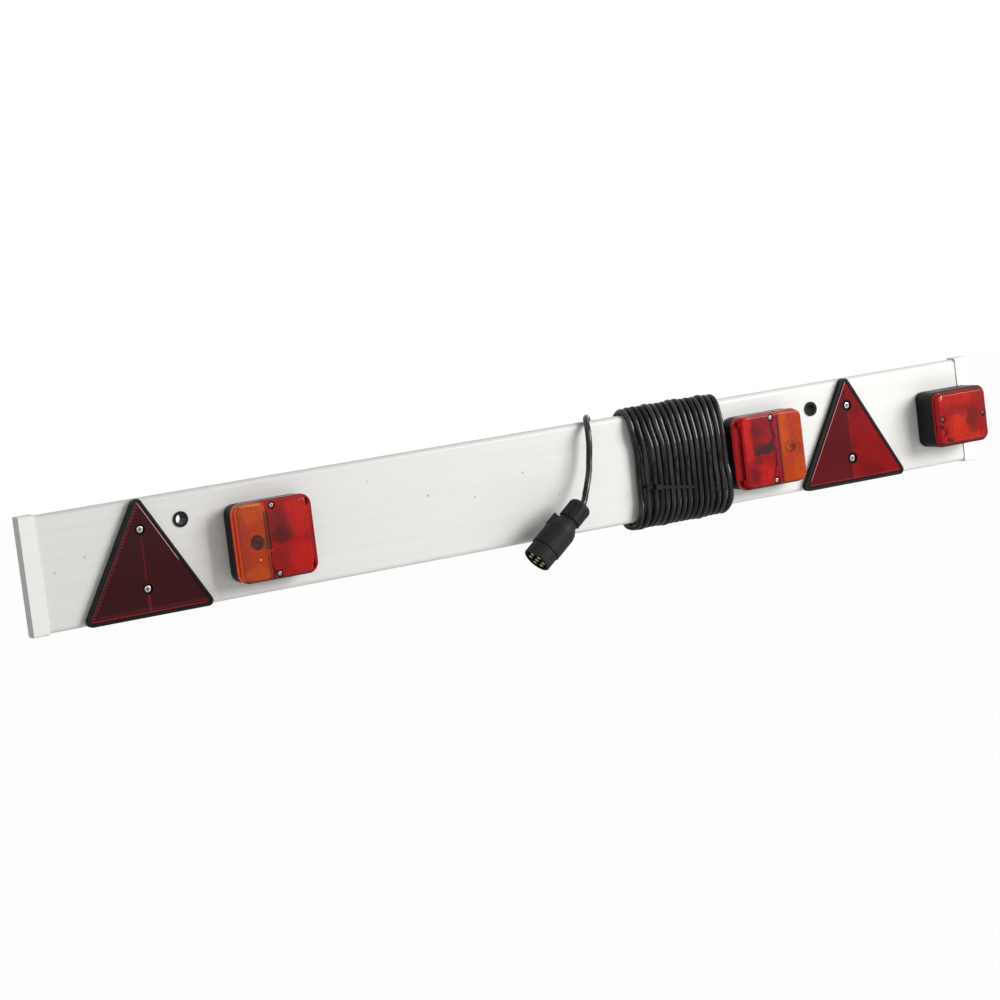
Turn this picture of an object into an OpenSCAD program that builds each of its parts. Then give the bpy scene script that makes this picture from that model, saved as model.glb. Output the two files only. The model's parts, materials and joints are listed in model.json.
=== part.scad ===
// Trailer lighting board: a hollow plastic plank that carries two reflectors, two combination
// lamps and a fog lamp, with its supply cable wound round it and ending in a 7-pin plug.
// Origin: middle of the two mounting holes, on the back face. X runs along the plank,
// the lamps face -Y, +Z is up.

/* [Plank] */
// Length over both end caps
overall_l = 1370; // [1200:5:1600]
// Height of the plank
board_h = 139; // [139:1:165]
// Thickness of the plank
board_t = 16; // [14:0.5:20]
// Outer wall of the hollow plank
board_wall = 1.8; // [1.4:0.1:2.6]
// Rounding of the plank's long edges
board_edge_r = 6.5; // [4:0.5:6.8]
// Chambers inside the plank
board_cells = 6; // [3:1:8]
// Web between two chambers
board_web = 1.2; // [0.8:0.1:2]

/* [End caps] */
// Length of plank that a cap covers
cap_lip = 18; // [12:1:20]
// Wall of a cap
cap_wall = 1.5; // [1:0.1:2]
// Rounding of a cap's long outer edges
cap_edge_r = 3.5; // [2:0.5:7]
// Gap between cap and plank
cap_gap = 0.1; // [0.05:0.05:0.3]

/* [Mounting holes] */
// Distance of the left hole from the plank's left end
hole_left_in = 199.5; // [191:0.5:208]
// Distance of the right hole from the plank's right end
hole_right_in = 262.5; // [254:0.5:271]
// Distance of the holes from the plank's top edge
hole_drop = 33; // [25:1:45]
// Bore of a hole liner
liner_bore = 12.5; // [8:0.5:14]
// Wall of a hole liner
liner_wall = 1.1; // [0.8:0.1:1.6]
// Flange diameter of a hole liner
liner_flange_d = 19; // [18:0.5:24]
// Flange thickness of a hole liner
liner_flange_t = 1.4; // [1:0.1:2.5]

/* [Reflectors] */
// Width of a reflector over its rounded corners
reflector_w = 160; // [146:1:162]
// Corner radius of a reflector
reflector_r = 6.5; // [5.5:0.5:10]
// Thickness of a reflector's tray
reflector_t = 8; // [6.5:0.5:10]
// Width of the tray's rim
reflector_rim = 3.2; // [2:0.1:4.5]
// Floor of the tray
reflector_floor = 2; // [1.5:0.1:3]
// How far the lens lies below the rim
reflector_sink = 0.8; // [0.3:0.1:1.5]
// Distance of the left reflector's middle from the plank's left end
reflector_left_in = 144.5; // [124:0.5:150]
// Distance of the right reflector's middle from the plank's right end
reflector_right_in = 208.5; // [187:0.5:212]
// Distance of the lower screw from the reflector's lower edge
reflector_screw_low = 33; // [28:0.5:40]
// Distance between a reflector's two screws
reflector_screw_pitch = 71; // [60:0.5:75]
// Recess round a reflector's screw head
reflector_well_d = 12.4; // [11:0.2:15]

/* [Combination lamps] */
// Width of a combination lamp
lamp_w = 105; // [98:1:112]
// Height of a combination lamp
lamp_h = 98; // [94:1:106]
// Corner radius of a combination lamp
lamp_r = 14; // [11:0.5:18]
// Distance of the lamps' lower edge from the plank's lower edge
lamp_low = 17; // [10:1:25]
// Distance of the left lamp's middle from the plank's left end
lamp_left_in = 306.5; // [294:0.5:323]
// Distance of the right lamp's middle from the plank's right end
lamp_right_in = 350.5; // [337:0.5:351]
// Height of the base housing's rim above the plank
lamp_base_t = 19; // [17:0.5:24]
// Depth of the lens in front of the base housing
lens_t = 14; // [12:0.5:18]
// Depth of the lens rim, up to its step
lens_rim_t = 7; // [5:0.5:9]
// Wall of the base housing
housing_wall = 2.2; // [1.6:0.1:3]
// Wall of a lens
lens_wall = 2; // [1.5:0.1:2.6]
// Distance of the colour joint from the lamp's middle, towards the amber end
joint_shift = 12.7; // [9:0.1:15]
// Distance of the lens screws from the lamp's middle, towards the amber end
lens_screw_shift = 2.6; // [1:0.1:4]
// Distance between a lamp's two lens screws
lens_screw_pitch = 82.5; // [78:0.5:83]
// Diameter of the ring in front of the indicator bulb
bullseye_d = 17; // [12:0.5:22]
// Step between the raised face and the red end of the lens
red_step = 8.5; // [6:0.5:10]
// Radius of the two pockets at the red end
pocket_r = 4.6; // [3.8:0.1:5]
// Length of the slot in the red step that lights the number plate
plate_slot_l = 68; // [50:1:70]

/* [Fog lamp] */
// Width of the fog lamp
fog_w = 88; // [82:1:94]
// Height of the fog lamp
fog_h = 75; // [70:1:82]
// Corner radius of the fog lamp
fog_r = 11; // [9:0.5:14]
// Distance of the fog lamp's lower edge from the plank's lower edge
fog_low = 28; // [20:1:36]
// Distance of the fog lamp's middle from the plank's right end
fog_in = 48.5; // [46.5:0.5:56.5]
// Height of the fog lamp's base rim above the plank
fog_base_t = 37; // [32:1:42]
// Depth of the fog lens in front of its base
fog_lens_t = 8; // [7:0.5:11]
// Depth of the fog lens's flat rim
fog_rim_t = 2; // [1.5:0.1:3]
// Step between the fog lens's rim and its raised face
fog_face_in = 3; // [2:0.5:5]
// Distance between the fog lamp's two lens screws
fog_screw_pitch = 67.5; // [64:0.5:70]
// Pitch of the ribs inside the fog lens
fog_rib_pitch = 3; // [2.5:0.1:4]
// Thickness of the foam under the fog lamp
fog_foam_t = 3; // [2.5:0.1:4]

/* [Fasteners] */
// Shank of the reflector screws
screw_d = 4.8; // [4:0.1:5]
// Head of the reflector screws
screw_head_d = 8.6; // [8:0.1:10]
// Height of the reflector screws' heads
screw_head_t = 2.6; // [2:0.1:3]
// Shank of the lamps' fixing bolts
bolt_d = 5.8; // [5:0.1:6]
// Width across flats of the fixing bolts and nuts
bolt_af = 10; // [9:0.5:11]
// Shank of the lens screws
lens_screw_d = 3.4; // [3:0.1:3.6]
// Head of the lens screws
lens_screw_head_d = 6; // [5.6:0.1:7]

/* [Bulbs] */
// Glass of the bulbs
bulb_glass_d = 22; // [18:0.5:22.5]
// Cap of the bulbs
bulb_cap_d = 15; // [14:0.1:15.2]
// Length of a bulb
bulb_l = 50; // [46:0.5:51]

/* [Cable] */
// Diameter of the cable
cable_d = 8; // [7:0.5:8]
// Radius of the winding's end loops, along the cable's middle
loop_r = 24; // [24:0.5:30]
// Length of the winding along the plank
winding_l = 150; // [140:1:160]
// Gap between the winding and the right lamp
winding_off = 3.5; // [2.5:0.5:12]
// Gap between the winding and the plank's edges
winding_gap = 0.3; // [0.2:0.1:0.8]
// Width of the cable tie
tie_w = 4; // [3:0.1:6]
// Thickness of the cable tie
tie_t = 1.2; // [1:0.1:1.6]

/* [Plug] */
// Diameter of the plug's nose
plug_nose_d = 37; // [35:0.5:38]
// Diameter of the plug's body
plug_body_d = 39.5; // [38.5:0.5:42]
// Length of the plug's nose
plug_nose_l = 19; // [17:0.5:22]
// Length of the plug's body with its shoulder
plug_body_l = 46; // [43:0.5:50]
// Length of the gland nut
plug_nut_l = 27; // [24:0.5:30]
// Diameter of the gland nut
plug_nut_d = 30; // [28:0.5:33]
// Diameter of a contact pin
pin_d = 5; // [4:0.1:5.5]

/* [Hidden] */
$fn = 48;

// Helping length by which cuts run past a face
past = 1;
// Gap between parts that slide into each other
fit = 0.2;
// Rounding of a pan head's edge and width of its cross, as shares of its height and diameter
head_round = 0.45;
head_cross = 0.55;
// Straight sides lie this hair inside their corner arcs, so that the two cross cleanly
side_in = 0.002;

// Plank, with everything placed from its two ends
hole_pitch = overall_l - hole_left_in - hole_right_in;
mid_x = (hole_right_in - hole_left_in) / 2;
left_end = mid_x - overall_l / 2;
right_end = mid_x + overall_l / 2;
board_top = hole_drop;
board_bottom = hole_drop - board_h;
board_mid_z = (board_top + board_bottom) / 2;
cell_h = (board_h - 2 * board_wall + board_web) / board_cells;
liner_d = liner_bore + 2 * liner_wall;
liner_hole_d = liner_d + fit;

// Reflectors: distance of the corner arcs' centres from the triangle's middle; a tray's lower
// edge hangs a little below the plank
reflector_left_x = left_end + reflector_left_in;
reflector_right_x = right_end - reflector_right_in;
reflector_c = (reflector_w - 2 * reflector_r) / sqrt(3);
reflector_hang = 1;
reflector_mid_z = board_bottom - reflector_hang + reflector_r + reflector_c / 2;
reflector_top = reflector_t - reflector_sink;
reflector_head_sink = 0.4;
reflector_boss_top = reflector_top - screw_head_t - reflector_head_sink;
reflector_edge_t = 0.8;
reflector_edge_in = 2;
reflector_core_z = reflector_floor + 1;
reflector_screw_ys = [for (i = [0, 1])
    reflector_screw_low + i * reflector_screw_pitch - reflector_r - reflector_c / 2];
screw_washer_d = 10;
screw_washer_t = 1;
screw_nut_af = 8;
screw_nut_t = 4.2;
screw_tip = 1.6;

// Combination lamps, in a frame that has X towards the red end and Z out of the plank; the lens
// covers the base's upper and lower side a little
lamp_left_x = left_end + lamp_left_in;
lamp_right_x = right_end - lamp_right_in;
lamp_mid_z = board_bottom + lamp_low + lamp_h / 2;
gasket_t = 1.5;
gasket_in = 1.2;
base_in = 1.4;
base_h = lamp_h - 2 * base_in;
base_floor_t = 2.4;
base_floor = gasket_t + base_floor_t;
inner_w = lamp_w - 2 * housing_wall;
inner_h = base_h - 2 * housing_wall;
inner_r = lamp_r - housing_wall;
lens_in = 0.6;
lens_w = lamp_w - 2 * lens_in;
lens_h = lamp_h - 2 * lens_in;
lens_r = lamp_r - lens_in;
lens_rim_e = 1.2;
face_in = 1.8;
face_w = lens_w - face_in - red_step;
face_h = lens_h - 2 * face_in;
face_r = lens_r - 2 * face_in;
face_e = 3;
face_x = (face_in - red_step) / 2;
step_x = lens_w / 2 - red_step;
lens_top = lamp_base_t + lens_t;
lens_joint_x = -joint_shift;
lens_flange_t = 1.6;
lens_spigot = 2.5;
lens_spigot_wall = 1.4;
well_d = 9.6;
well_wall = 1.2;
well_sink = 1.3;
lens_screw_head_t = 2.2;
well_floor = lens_top - well_sink - lens_screw_head_t;
well_floor_t = 2.2;
pillar_d = 9;
pillar_top = well_floor - well_floor_t;
lens_screw_stop = 2;
pocket_in = [6, 10];
pocket_x = lens_w / 2 - pocket_in.x;
pocket_y = lens_h / 2 - pocket_in.y;
pocket_wall = 1.4;
pocket_floor_t = 1.4;
pocket_boss_r = pocket_r - 0.5;
pocket_bore = 3;
plate_slot_h = 3.2;
plate_slot_up = 0.4;
tab_w = 5;
tab_t = 2;
bullseye_x = -27.3;
bullseye_bead = 0.6;
divider_t = 2;
carrier_t = 1;
carrier_flange = 5;
carrier_gap = 1;
carrier_top = base_floor + carrier_t;
lamp_bolt_x = 9;
lamp_bolt_pitch = 56;
bolt_head_t = 4;
bolt_washer_d = 12.5;
bolt_washer_t = 1.2;
bolt_nut_t = 5;
bolt_tip = 2;
wire_hole_d = 9;
wire_hole_y = -22;

// Bulbs and holders lie along the plank's face
holder_wall = 0.7;
holder_d = bulb_cap_d + fit + 2 * holder_wall;
holder_l = 14;
holder_foot_t = 1.2;
holder_foot_w = 16;
bulb_z = carrier_top + bulb_glass_d / 2 + 1;
bulb_cap_l = 17;
bulb_neck_d = 13;
stop_holder_x = -9.5;
indicator_holder_y = -34;

// Fog lamp
fog_x = right_end - fog_in;
fog_mid_z = board_bottom + fog_low + fog_h / 2;
fog_floor = fog_foam_t + base_floor_t;
fog_lens_in = 0.6;
fog_lens_w = fog_w - 2 * fog_lens_in;
fog_lens_h = fog_h - 2 * fog_lens_in;
fog_lens_r = fog_r - fog_lens_in;
fog_rim_e = 1;
fog_face_w = fog_lens_w - 2 * fog_face_in;
fog_face_h = fog_lens_h - 2 * fog_face_in;
fog_face_r = fog_lens_r - fog_face_in;
fog_face_e = 3.5;
fog_top = fog_base_t + fog_lens_t;
fog_well_d = 8.4;
fog_well_sink = 1;
fog_well_floor = fog_top - fog_well_sink - lens_screw_head_t;
fog_screw_stop = 6;
fog_pillar_top = fog_well_floor - well_floor_t;
fog_rib_depth = 0.9;
fog_bolt_pitch = 30;
fog_carrier_top = fog_floor + carrier_t;
fog_bulb_z = fog_base_t - bulb_glass_d / 2 - 2;
fog_holder_x = 29;

// Winding: stretched loops round the plank
loop_y = -board_t / 2;
loop_top = board_top + winding_gap + cable_d / 2;
loop_bottom = board_bottom - winding_gap - cable_d / 2;
winding_right_x = lamp_right_x - lamp_w / 2 - winding_off;
winding_left_x = winding_right_x - winding_l;

// Cable tie over part of the turns, leaning a little; its middle lies this far from the
// winding's left end and from the plank's middle line
tie_in = 53;
tie_drop = 29.5;
tie_span = 70;
tie_lean = 9;
tie_r = 2;
tie_head = [10, 7, 4.5];
tie_head_x = -20;
tie_slot_gap = 0.2;

// Cable grommet in the middle of a chamber's back wall
grommet_d = 12;
grommet_flange_d = 16;
grommet_flange_t = 3;
grommet_barb = 1;
exit_z = board_mid_z - cell_h / 2;

// Route of the short lead from the grommet, seen from the winding's right end on the plank's back
lead_points = [[28, 0, 0], [28, 12, 0], [27, 21, 3], [23, 28, 9], [17, 31, 18], [11, 29, 29],
    [6, 24, 39], [2, 19, 48], [0, 16, 55]];
lead_ref = [1, 0, 1];
exit_x = winding_right_x + lead_points[0].x;

// Route of the free tail, seen from the middle of the plank's top edge at the winding's left end:
// off the last turn behind the plank, over the top edge, and down in front
tail_points = [[0, 24, -100], [-6, 24, -80], [-12, 24, -60], [-18, 24, -42], [-24, 24, -26],
    [-29, 20, -11], [-34, 13, 0], [-39, 6, 4], [-44, -1, 4.6], [-49, -9, 2.8], [-53, -17, -4],
    [-56, -23, -15], [-58, -25, -30], [-61, -26, -46], [-65, -29, -60], [-71, -32, -74],
    [-78, -36, -87]];
tail_ref = [1, 0, 0];
cable_sides = 12;

// Plug: place of the nut's cable end, seen as the tail, and the way its axis points
plug_off = [-88, -41, -99.5];
plug_tip = 127;
plug_turn = 183;
plug_roll = 205;
plug_axis = [sin(plug_tip) * cos(plug_turn), sin(plug_tip) * sin(plug_turn), cos(plug_tip)];
plug_straight = 3;
plug_neck_d = 26;
plug_neck_l = 4;
plug_stub_d = 18;
plug_wall = 2.6;
plug_entry = 12;
plug_step_z = plug_nut_l + plug_neck_l + plug_body_l;
plug_end_z = plug_step_z + plug_nose_l;
plug_shoulder = 15;
plug_bulge = 1.5;
plug_bulge_z = 0.6 * plug_shoulder;
plug_lip = 0.8;
plug_wire_d = 6;
plug_key_w = 10;
plug_key_l = 16;
plug_key_out = 1;
plug_key_z = plug_nut_l + plug_neck_l + 1.5;
insert_t = 12;
insert_sink = 9;
insert_gap = 0.2;
pin_l = 24;
pin_out = 8;
pin_ring_r = 10;
pin_count = 6;
nut_flutes = 12;
nut_flute_r = 1.6;
nut_flute_z = 7.5;
nut_round = 6;
nut_flute_out = 0.6;
nut_mouth_d = cable_d + 0.8;
nut_cap = 3.5;
seal_l = plug_entry - nut_cap;

// Flat shapes

module rounded_rect(w, h, r) {
    square([w - 2 * r, h], center = true);
    square([w, h - 2 * r], center = true);
    for (sx = [-1, 1], sy = [-1, 1])
        translate([sx * (w / 2 - r), sy * (h / 2 - r)])
            circle(r);
}

function corner_at(i, c) = c * [cos(90 + 120 * i), sin(90 + 120 * i)];
function side_turn(i, s) = [cos(90 + 120 * i + 60 * s), sin(90 + 120 * i + 60 * s)];

// Equal-sided triangle with round corners; c is the distance of the arcs' centres from its middle
module rounded_triangle(c, r) {
    for (i = [0 : 2])
        translate(corner_at(i, c))
            circle(r);
    polygon([for (i = [0 : 2], s = [-1, 1]) corner_at(i, c) + (r - side_in) * side_turn(i, s)]);
}

// Profile with a rounded front edge, from the middle line outwards
module edge_profile(w, d, e) {
    square([w - e, d]);
    square([w, d - e]);
    intersection() {
        square([w, d]);
        translate([w - e, d - e])
            circle(e);
    }
}

module full_profile(w, d, e) {
    edge_profile(w / 2, d, e);
    mirror([1, 0])
        edge_profile(w / 2, d, e);
}

// Box with round corners r and a rounded front edge e
module pillow(w, h, d, r, e) {
    for (sx = [-1, 1], sy = [-1, 1])
        translate([sx * (w / 2 - r), sy * (h / 2 - r), 0])
            rotate_extrude()
                edge_profile(r, d, e);
    translate([-(w / 2 - r), 0, 0])
        rotate([90, 0, 90])
            linear_extrude(w - 2 * r)
                full_profile(h, d, e);
    translate([0, h / 2 - r, 0])
        rotate([90, 0, 0])
            linear_extrude(h - 2 * r)
                full_profile(w, d, e);
}

// Frames

// On the plank's front, with Z out of the plank and Y up
module on_front(x, z) {
    translate([x, -board_t, z])
        rotate([90, 0, 0])
            children();
}

// Combination lamp frame: X towards the red end, which points to the plank's middle
module lamp_frame(side) {
    on_front(side < 0 ? lamp_left_x : lamp_right_x, lamp_mid_z)
        mirror([side < 0 ? 0 : 1, 0, 0])
            children();
}

module fog_frame() {
    on_front(fog_x, fog_mid_z)
        children();
}

module reflector_frame(side) {
    on_front(side < 0 ? reflector_left_x : reflector_right_x, reflector_mid_z)
        children();
}

// All places of the fixing bolts, in the lamps' frames
module at_lamp_bolts() {
    for (sy = [-1, 1])
        translate([lamp_bolt_x, sy * lamp_bolt_pitch / 2, 0])
            children();
}

module at_fog_bolts() {
    for (sy = [-1, 1])
        translate([0, sy * fog_bolt_pitch / 2, 0])
            children();
}

module at_reflector_screws() {
    for (y = reflector_screw_ys)
        translate([0, y, 0])
            children();
}

module at_all_bolts() {
    for (side = [-1, 1])
        lamp_frame(side)
            at_lamp_bolts()
                children();
    fog_frame()
        at_fog_bolts()
            children();
}

module at_all_reflector_screws() {
    for (side = [-1, 1])
        reflector_frame(side)
            at_reflector_screws()
                children();
}

// Plank and caps

module board_section() {
    difference() {
        rounded_rect(board_t, board_h, board_edge_r);
        difference() {
            rounded_rect(board_t - 2 * board_wall, board_h - 2 * board_wall,
                board_edge_r - board_wall);
            for (i = [1 : board_cells - 1])
                translate([0, -board_h / 2 + board_wall - board_web / 2 + i * cell_h])
                    square([board_t, board_web], center = true);
        }
    }
}

// Straight hole through the plank, for children placed on its front
module through_board(d) {
    translate([0, 0, -board_t - past])
        cylinder(d = d, h = board_t + 2 * past);
}

module board() {
    color("whitesmoke")
        difference() {
            translate([left_end + cap_wall, -board_t / 2, board_mid_z])
                rotate([90, 0, 90])
                    linear_extrude(overall_l - 2 * cap_wall)
                        board_section();
            for (side = [-1, 1])
                on_front(side * hole_pitch / 2, 0)
                    through_board(liner_hole_d);
            at_all_reflector_screws()
                through_board(screw_d + fit);
            at_all_bolts()
                through_board(bolt_d + fit);
            for (side = [-1, 1])
                lamp_frame(side)
                    translate([0, wire_hole_y, -board_wall - past])
                        cylinder(d = wire_hole_d, h = board_wall + 2 * past);
            fog_frame()
                translate([0, 0, -board_wall - past])
                    cylinder(d = wire_hole_d, h = board_wall + 2 * past);
            translate([exit_x, past, exit_z])
                rotate([90, 0, 0])
                    cylinder(d = grommet_d + fit, h = board_wall + 2 * past);
        }
}

// Cap in a frame that has Z along the plank, from the closed end inwards
module cap_body() {
    difference() {
        linear_extrude(cap_wall + cap_lip)
            rounded_rect(board_t + 2 * cap_wall, board_h + 2 * cap_wall, cap_edge_r);
        translate([0, 0, cap_wall])
            linear_extrude(cap_lip + past)
                rounded_rect(board_t + 2 * cap_gap, board_h + 2 * cap_gap,
                    board_edge_r + cap_gap);
    }
}

module end_cap(side) {
    color("white")
        translate([side < 0 ? left_end : right_end, -board_t / 2, board_mid_z])
            mirror([side < 0 ? 0 : 1, 0, 0])
                rotate([90, 0, 90])
                    cap_body();
}

module end_cap_left() {
    end_cap(-1);
}

module end_cap_right() {
    end_cap(1);
}

module hole_liner(side) {
    color("black")
        on_front(side * hole_pitch / 2, 0)
            rotate_extrude()
                difference() {
                    union() {
                        translate([0, -board_t])
                            square([liner_d / 2, board_t]);
                        square([liner_flange_d / 2, liner_flange_t]);
                        translate([0, -board_t - liner_flange_t])
                            square([liner_flange_d / 2, liner_flange_t]);
                    }
                    translate([0, -board_t - liner_flange_t - past])
                        square([liner_bore / 2, board_t + 2 * liner_flange_t + 2 * past]);
                }
}

module hole_liner_left() {
    hole_liner(-1);
}

module hole_liner_right() {
    hole_liner(1);
}

// Reflectors

module reflector_tray(side) {
    color("#1a1a1a")
        reflector_frame(side)
            difference() {
                union() {
                    difference() {
                        linear_extrude(reflector_t)
                            rounded_triangle(reflector_c, reflector_r);
                        translate([0, 0, reflector_floor])
                            linear_extrude(reflector_t)
                                rounded_triangle(reflector_c, reflector_r - reflector_rim);
                    }
                    at_reflector_screws()
                        cylinder(d = reflector_well_d - 2 * fit, h = reflector_boss_top);
                }
                at_reflector_screws()
                    translate([0, 0, -past])
                        cylinder(d = screw_d + fit, h = reflector_t + 2 * past);
            }
}

module reflector_tray_left() {
    reflector_tray(-1);
}

module reflector_tray_right() {
    reflector_tray(1);
}

module reflector_lens(side) {
    color("#7a1418")
        reflector_frame(side)
            difference() {
                union() {
                    translate([0, 0, reflector_floor])
                        linear_extrude(reflector_top - reflector_floor - reflector_edge_t)
                            rounded_triangle(reflector_c, reflector_r - reflector_rim - fit);
                    translate([0, 0, reflector_core_z])
                        linear_extrude(reflector_top - reflector_core_z)
                            rounded_triangle(reflector_c - reflector_edge_in,
                                reflector_r - reflector_rim - fit);
                }
                at_reflector_screws()
                    cylinder(d = reflector_well_d, h = reflector_t + past);
            }
}

module reflector_lens_left() {
    reflector_lens(-1);
}

module reflector_lens_right() {
    reflector_lens(1);
}

// Pan head with a cross, its underside at z = 0
module pan_head(d, h) {
    cross = head_cross * d;
    arm = cross / 4;
    difference() {
        rotate_extrude()
            edge_profile(d / 2, h, head_round * h);
        translate([0, 0, h / 2])
            for (turn = [0, 90])
                rotate([0, 0, turn])
                    translate([-cross / 2, -arm / 2, 0])
                        cube([cross, arm, h]);
    }
}

module reflector_screws() {
    shank = reflector_boss_top + board_t + screw_washer_t + screw_nut_t + screw_tip;
    color("silver")
        at_all_reflector_screws()
            translate([0, 0, reflector_boss_top]) {
                pan_head(screw_head_d, screw_head_t);
                translate([0, 0, -shank])
                    cylinder(d = screw_d, h = shank);
            }
}

module reflector_washers() {
    color("silver")
        at_all_reflector_screws()
            translate([0, 0, -board_t - screw_washer_t])
                difference() {
                    cylinder(d = screw_washer_d, h = screw_washer_t);
                    translate([0, 0, -past])
                        cylinder(d = screw_d + fit, h = screw_washer_t + 2 * past);
                }
}

// Hexagon with width across flats af
module hexagon(af, h) {
    cylinder(d = af / cos(30), h = h, $fn = 6);
}

module reflector_nuts() {
    color("silver")
        at_all_reflector_screws()
            translate([0, 0, -board_t - screw_washer_t - screw_nut_t])
                difference() {
                    hexagon(screw_nut_af, screw_nut_t);
                    translate([0, 0, -past])
                        cylinder(d = screw_d + fit / 2, h = screw_nut_t + 2 * past);
                }
}

// Combination lamps

module lamp_gasket(side) {
    color("#202020")
        lamp_frame(side)
            difference() {
                linear_extrude(gasket_t)
                    rounded_rect(lamp_w - 2 * gasket_in, base_h - 2 * gasket_in,
                        lamp_r - gasket_in);
                at_lamp_bolts()
                    translate([0, 0, -past])
                        cylinder(d = bolt_d + fit, h = gasket_t + 2 * past);
                translate([0, wire_hole_y, -past])
                    cylinder(d = wire_hole_d, h = gasket_t + 2 * past);
            }
}

module lamp_gasket_left() {
    lamp_gasket(-1);
}

module lamp_gasket_right() {
    lamp_gasket(1);
}

module at_lens_screws() {
    for (sy = [-1, 1])
        translate([-lens_screw_shift, sy * lens_screw_pitch / 2, 0])
            children();
}

module at_pockets() {
    for (sy = [-1, 1])
        translate([pocket_x, sy * pocket_y, 0])
            children();
}

module lamp_base(side) {
    color("#1a1a1a")
        lamp_frame(side)
            difference() {
                union() {
                    difference() {
                        translate([0, 0, gasket_t])
                            linear_extrude(lamp_base_t - gasket_t)
                                rounded_rect(lamp_w, base_h, lamp_r);
                        translate([0, 0, base_floor])
                            linear_extrude(lamp_base_t)
                                rounded_rect(inner_w, inner_h, inner_r);
                    }
                    at_lens_screws()
                        translate([0, 0, gasket_t])
                            cylinder(d = pillar_d, h = pillar_top - gasket_t);
                    at_pockets()
                        translate([0, 0, gasket_t])
                            cylinder(r = pocket_boss_r, h = lamp_base_t - gasket_t);
                    translate([lens_joint_x - divider_t / 2, -inner_h / 2, carrier_top + fit])
                        cube([divider_t, inner_h, lamp_base_t - carrier_top - fit]);
                }
                at_lens_screws()
                    translate([0, 0, base_floor])
                        cylinder(d = lens_screw_d + fit, h = lens_top);
                at_pockets()
                    translate([0, 0, base_floor])
                        cylinder(d = pocket_bore, h = lens_top);
                at_lamp_bolts()
                    cylinder(d = bolt_d + fit, h = lamp_base_t);
                translate([0, wire_hole_y, 0])
                    cylinder(d = wire_hole_d, h = lamp_base_t);
            }
}

module lamp_base_left() {
    lamp_base(-1);
}

module lamp_base_right() {
    lamp_base(1);
}

// Bright sheet that lies on the base's floor, with two low flanges
module carrier_plate(side) {
    plate_w = inner_w - 2 * carrier_gap;
    plate_h = inner_h - 2 * carrier_gap;
    color("gainsboro")
        lamp_frame(side)
            difference() {
                union() {
                    translate([0, 0, base_floor])
                        linear_extrude(carrier_t)
                            rounded_rect(plate_w, plate_h, inner_r);
                    for (sx = [-1, 1])
                        translate([sx * (plate_w - carrier_t) / 2 - carrier_t / 2,
                            -plate_h / 4, base_floor])
                            cube([carrier_t, plate_h / 2, carrier_flange]);
                }
                at_lens_screws()
                    cylinder(d = pillar_d + 2 * fit, h = lamp_base_t);
                at_pockets()
                    cylinder(r = pocket_boss_r + fit, h = lamp_base_t);
                at_lamp_bolts()
                    cylinder(d = bolt_af / cos(30) + 2, h = lamp_base_t);
                translate([0, wire_hole_y, 0])
                    cylinder(d = wire_hole_d, h = lamp_base_t);
            }
}

module carrier_plate_left() {
    carrier_plate(-1);
}

module carrier_plate_right() {
    carrier_plate(1);
}

// Socket for a bulb that lies along +X: a tube on a foot, with its mouth at x = 0
module bulb_holder(axis_z, seat_z) {
    translate([-holder_l, 0, axis_z])
        rotate([0, 90, 0])
            difference() {
                cylinder(d = holder_d, h = holder_l);
                translate([0, 0, holder_wall])
                    cylinder(d = bulb_cap_d + fit, h = holder_l);
            }
    difference() {
        translate([-holder_l, -holder_foot_w / 2, seat_z]) {
            cube([holder_l, holder_foot_w, holder_foot_t]);
            translate([0, holder_foot_w / 2 - holder_foot_t, 0])
                cube([holder_l, 2 * holder_foot_t, axis_z - seat_z]);
        }
        translate([-holder_l - past, 0, axis_z])
            rotate([0, 90, 0])
                cylinder(d = holder_d - holder_wall, h = holder_l + 2 * past);
    }
}

// Bulb along +X: metal cap in the holder and a round-ended glass
module bulb(axis_z) {
    glass_l = bulb_l - bulb_cap_l;
    translate([-holder_l + holder_wall, 0, axis_z])
        rotate([0, 90, 0]) {
            cylinder(d = bulb_cap_d, h = bulb_cap_l);
            translate([0, 0, bulb_cap_l])
                cylinder(d = bulb_neck_d, h = glass_l - bulb_glass_d / 2);
            translate([0, 0, bulb_cap_l + glass_l - bulb_glass_d / 2])
                sphere(d = bulb_glass_d);
        }
}

module stop_frame(side) {
    lamp_frame(side)
        translate([stop_holder_x + holder_l, 0, 0])
            children();
}

module indicator_frame(side) {
    lamp_frame(side)
        translate([bullseye_x, indicator_holder_y + holder_l, 0])
            rotate([0, 0, 90])
                children();
}

module indicator_holder(side) {
    color("dimgray")
        indicator_frame(side)
            bulb_holder(bulb_z, carrier_top);
}

module indicator_holder_left() {
    indicator_holder(-1);
}

module indicator_holder_right() {
    indicator_holder(1);
}

module indicator_bulb(side) {
    color("orange")
        indicator_frame(side)
            bulb(bulb_z);
}

module indicator_bulb_left() {
    indicator_bulb(-1);
}

module indicator_bulb_right() {
    indicator_bulb(1);
}

module stop_holder(side) {
    color("dimgray")
        stop_frame(side)
            bulb_holder(bulb_z, carrier_top);
}

module stop_holder_left() {
    stop_holder(-1);
}

module stop_holder_right() {
    stop_holder(1);
}

module stop_bulb(side) {
    color("lightgray")
        stop_frame(side)
            bulb(bulb_z);
}

module stop_bulb_left() {
    stop_bulb(-1);
}

module stop_bulb_right() {
    stop_bulb(1);
}

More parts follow.
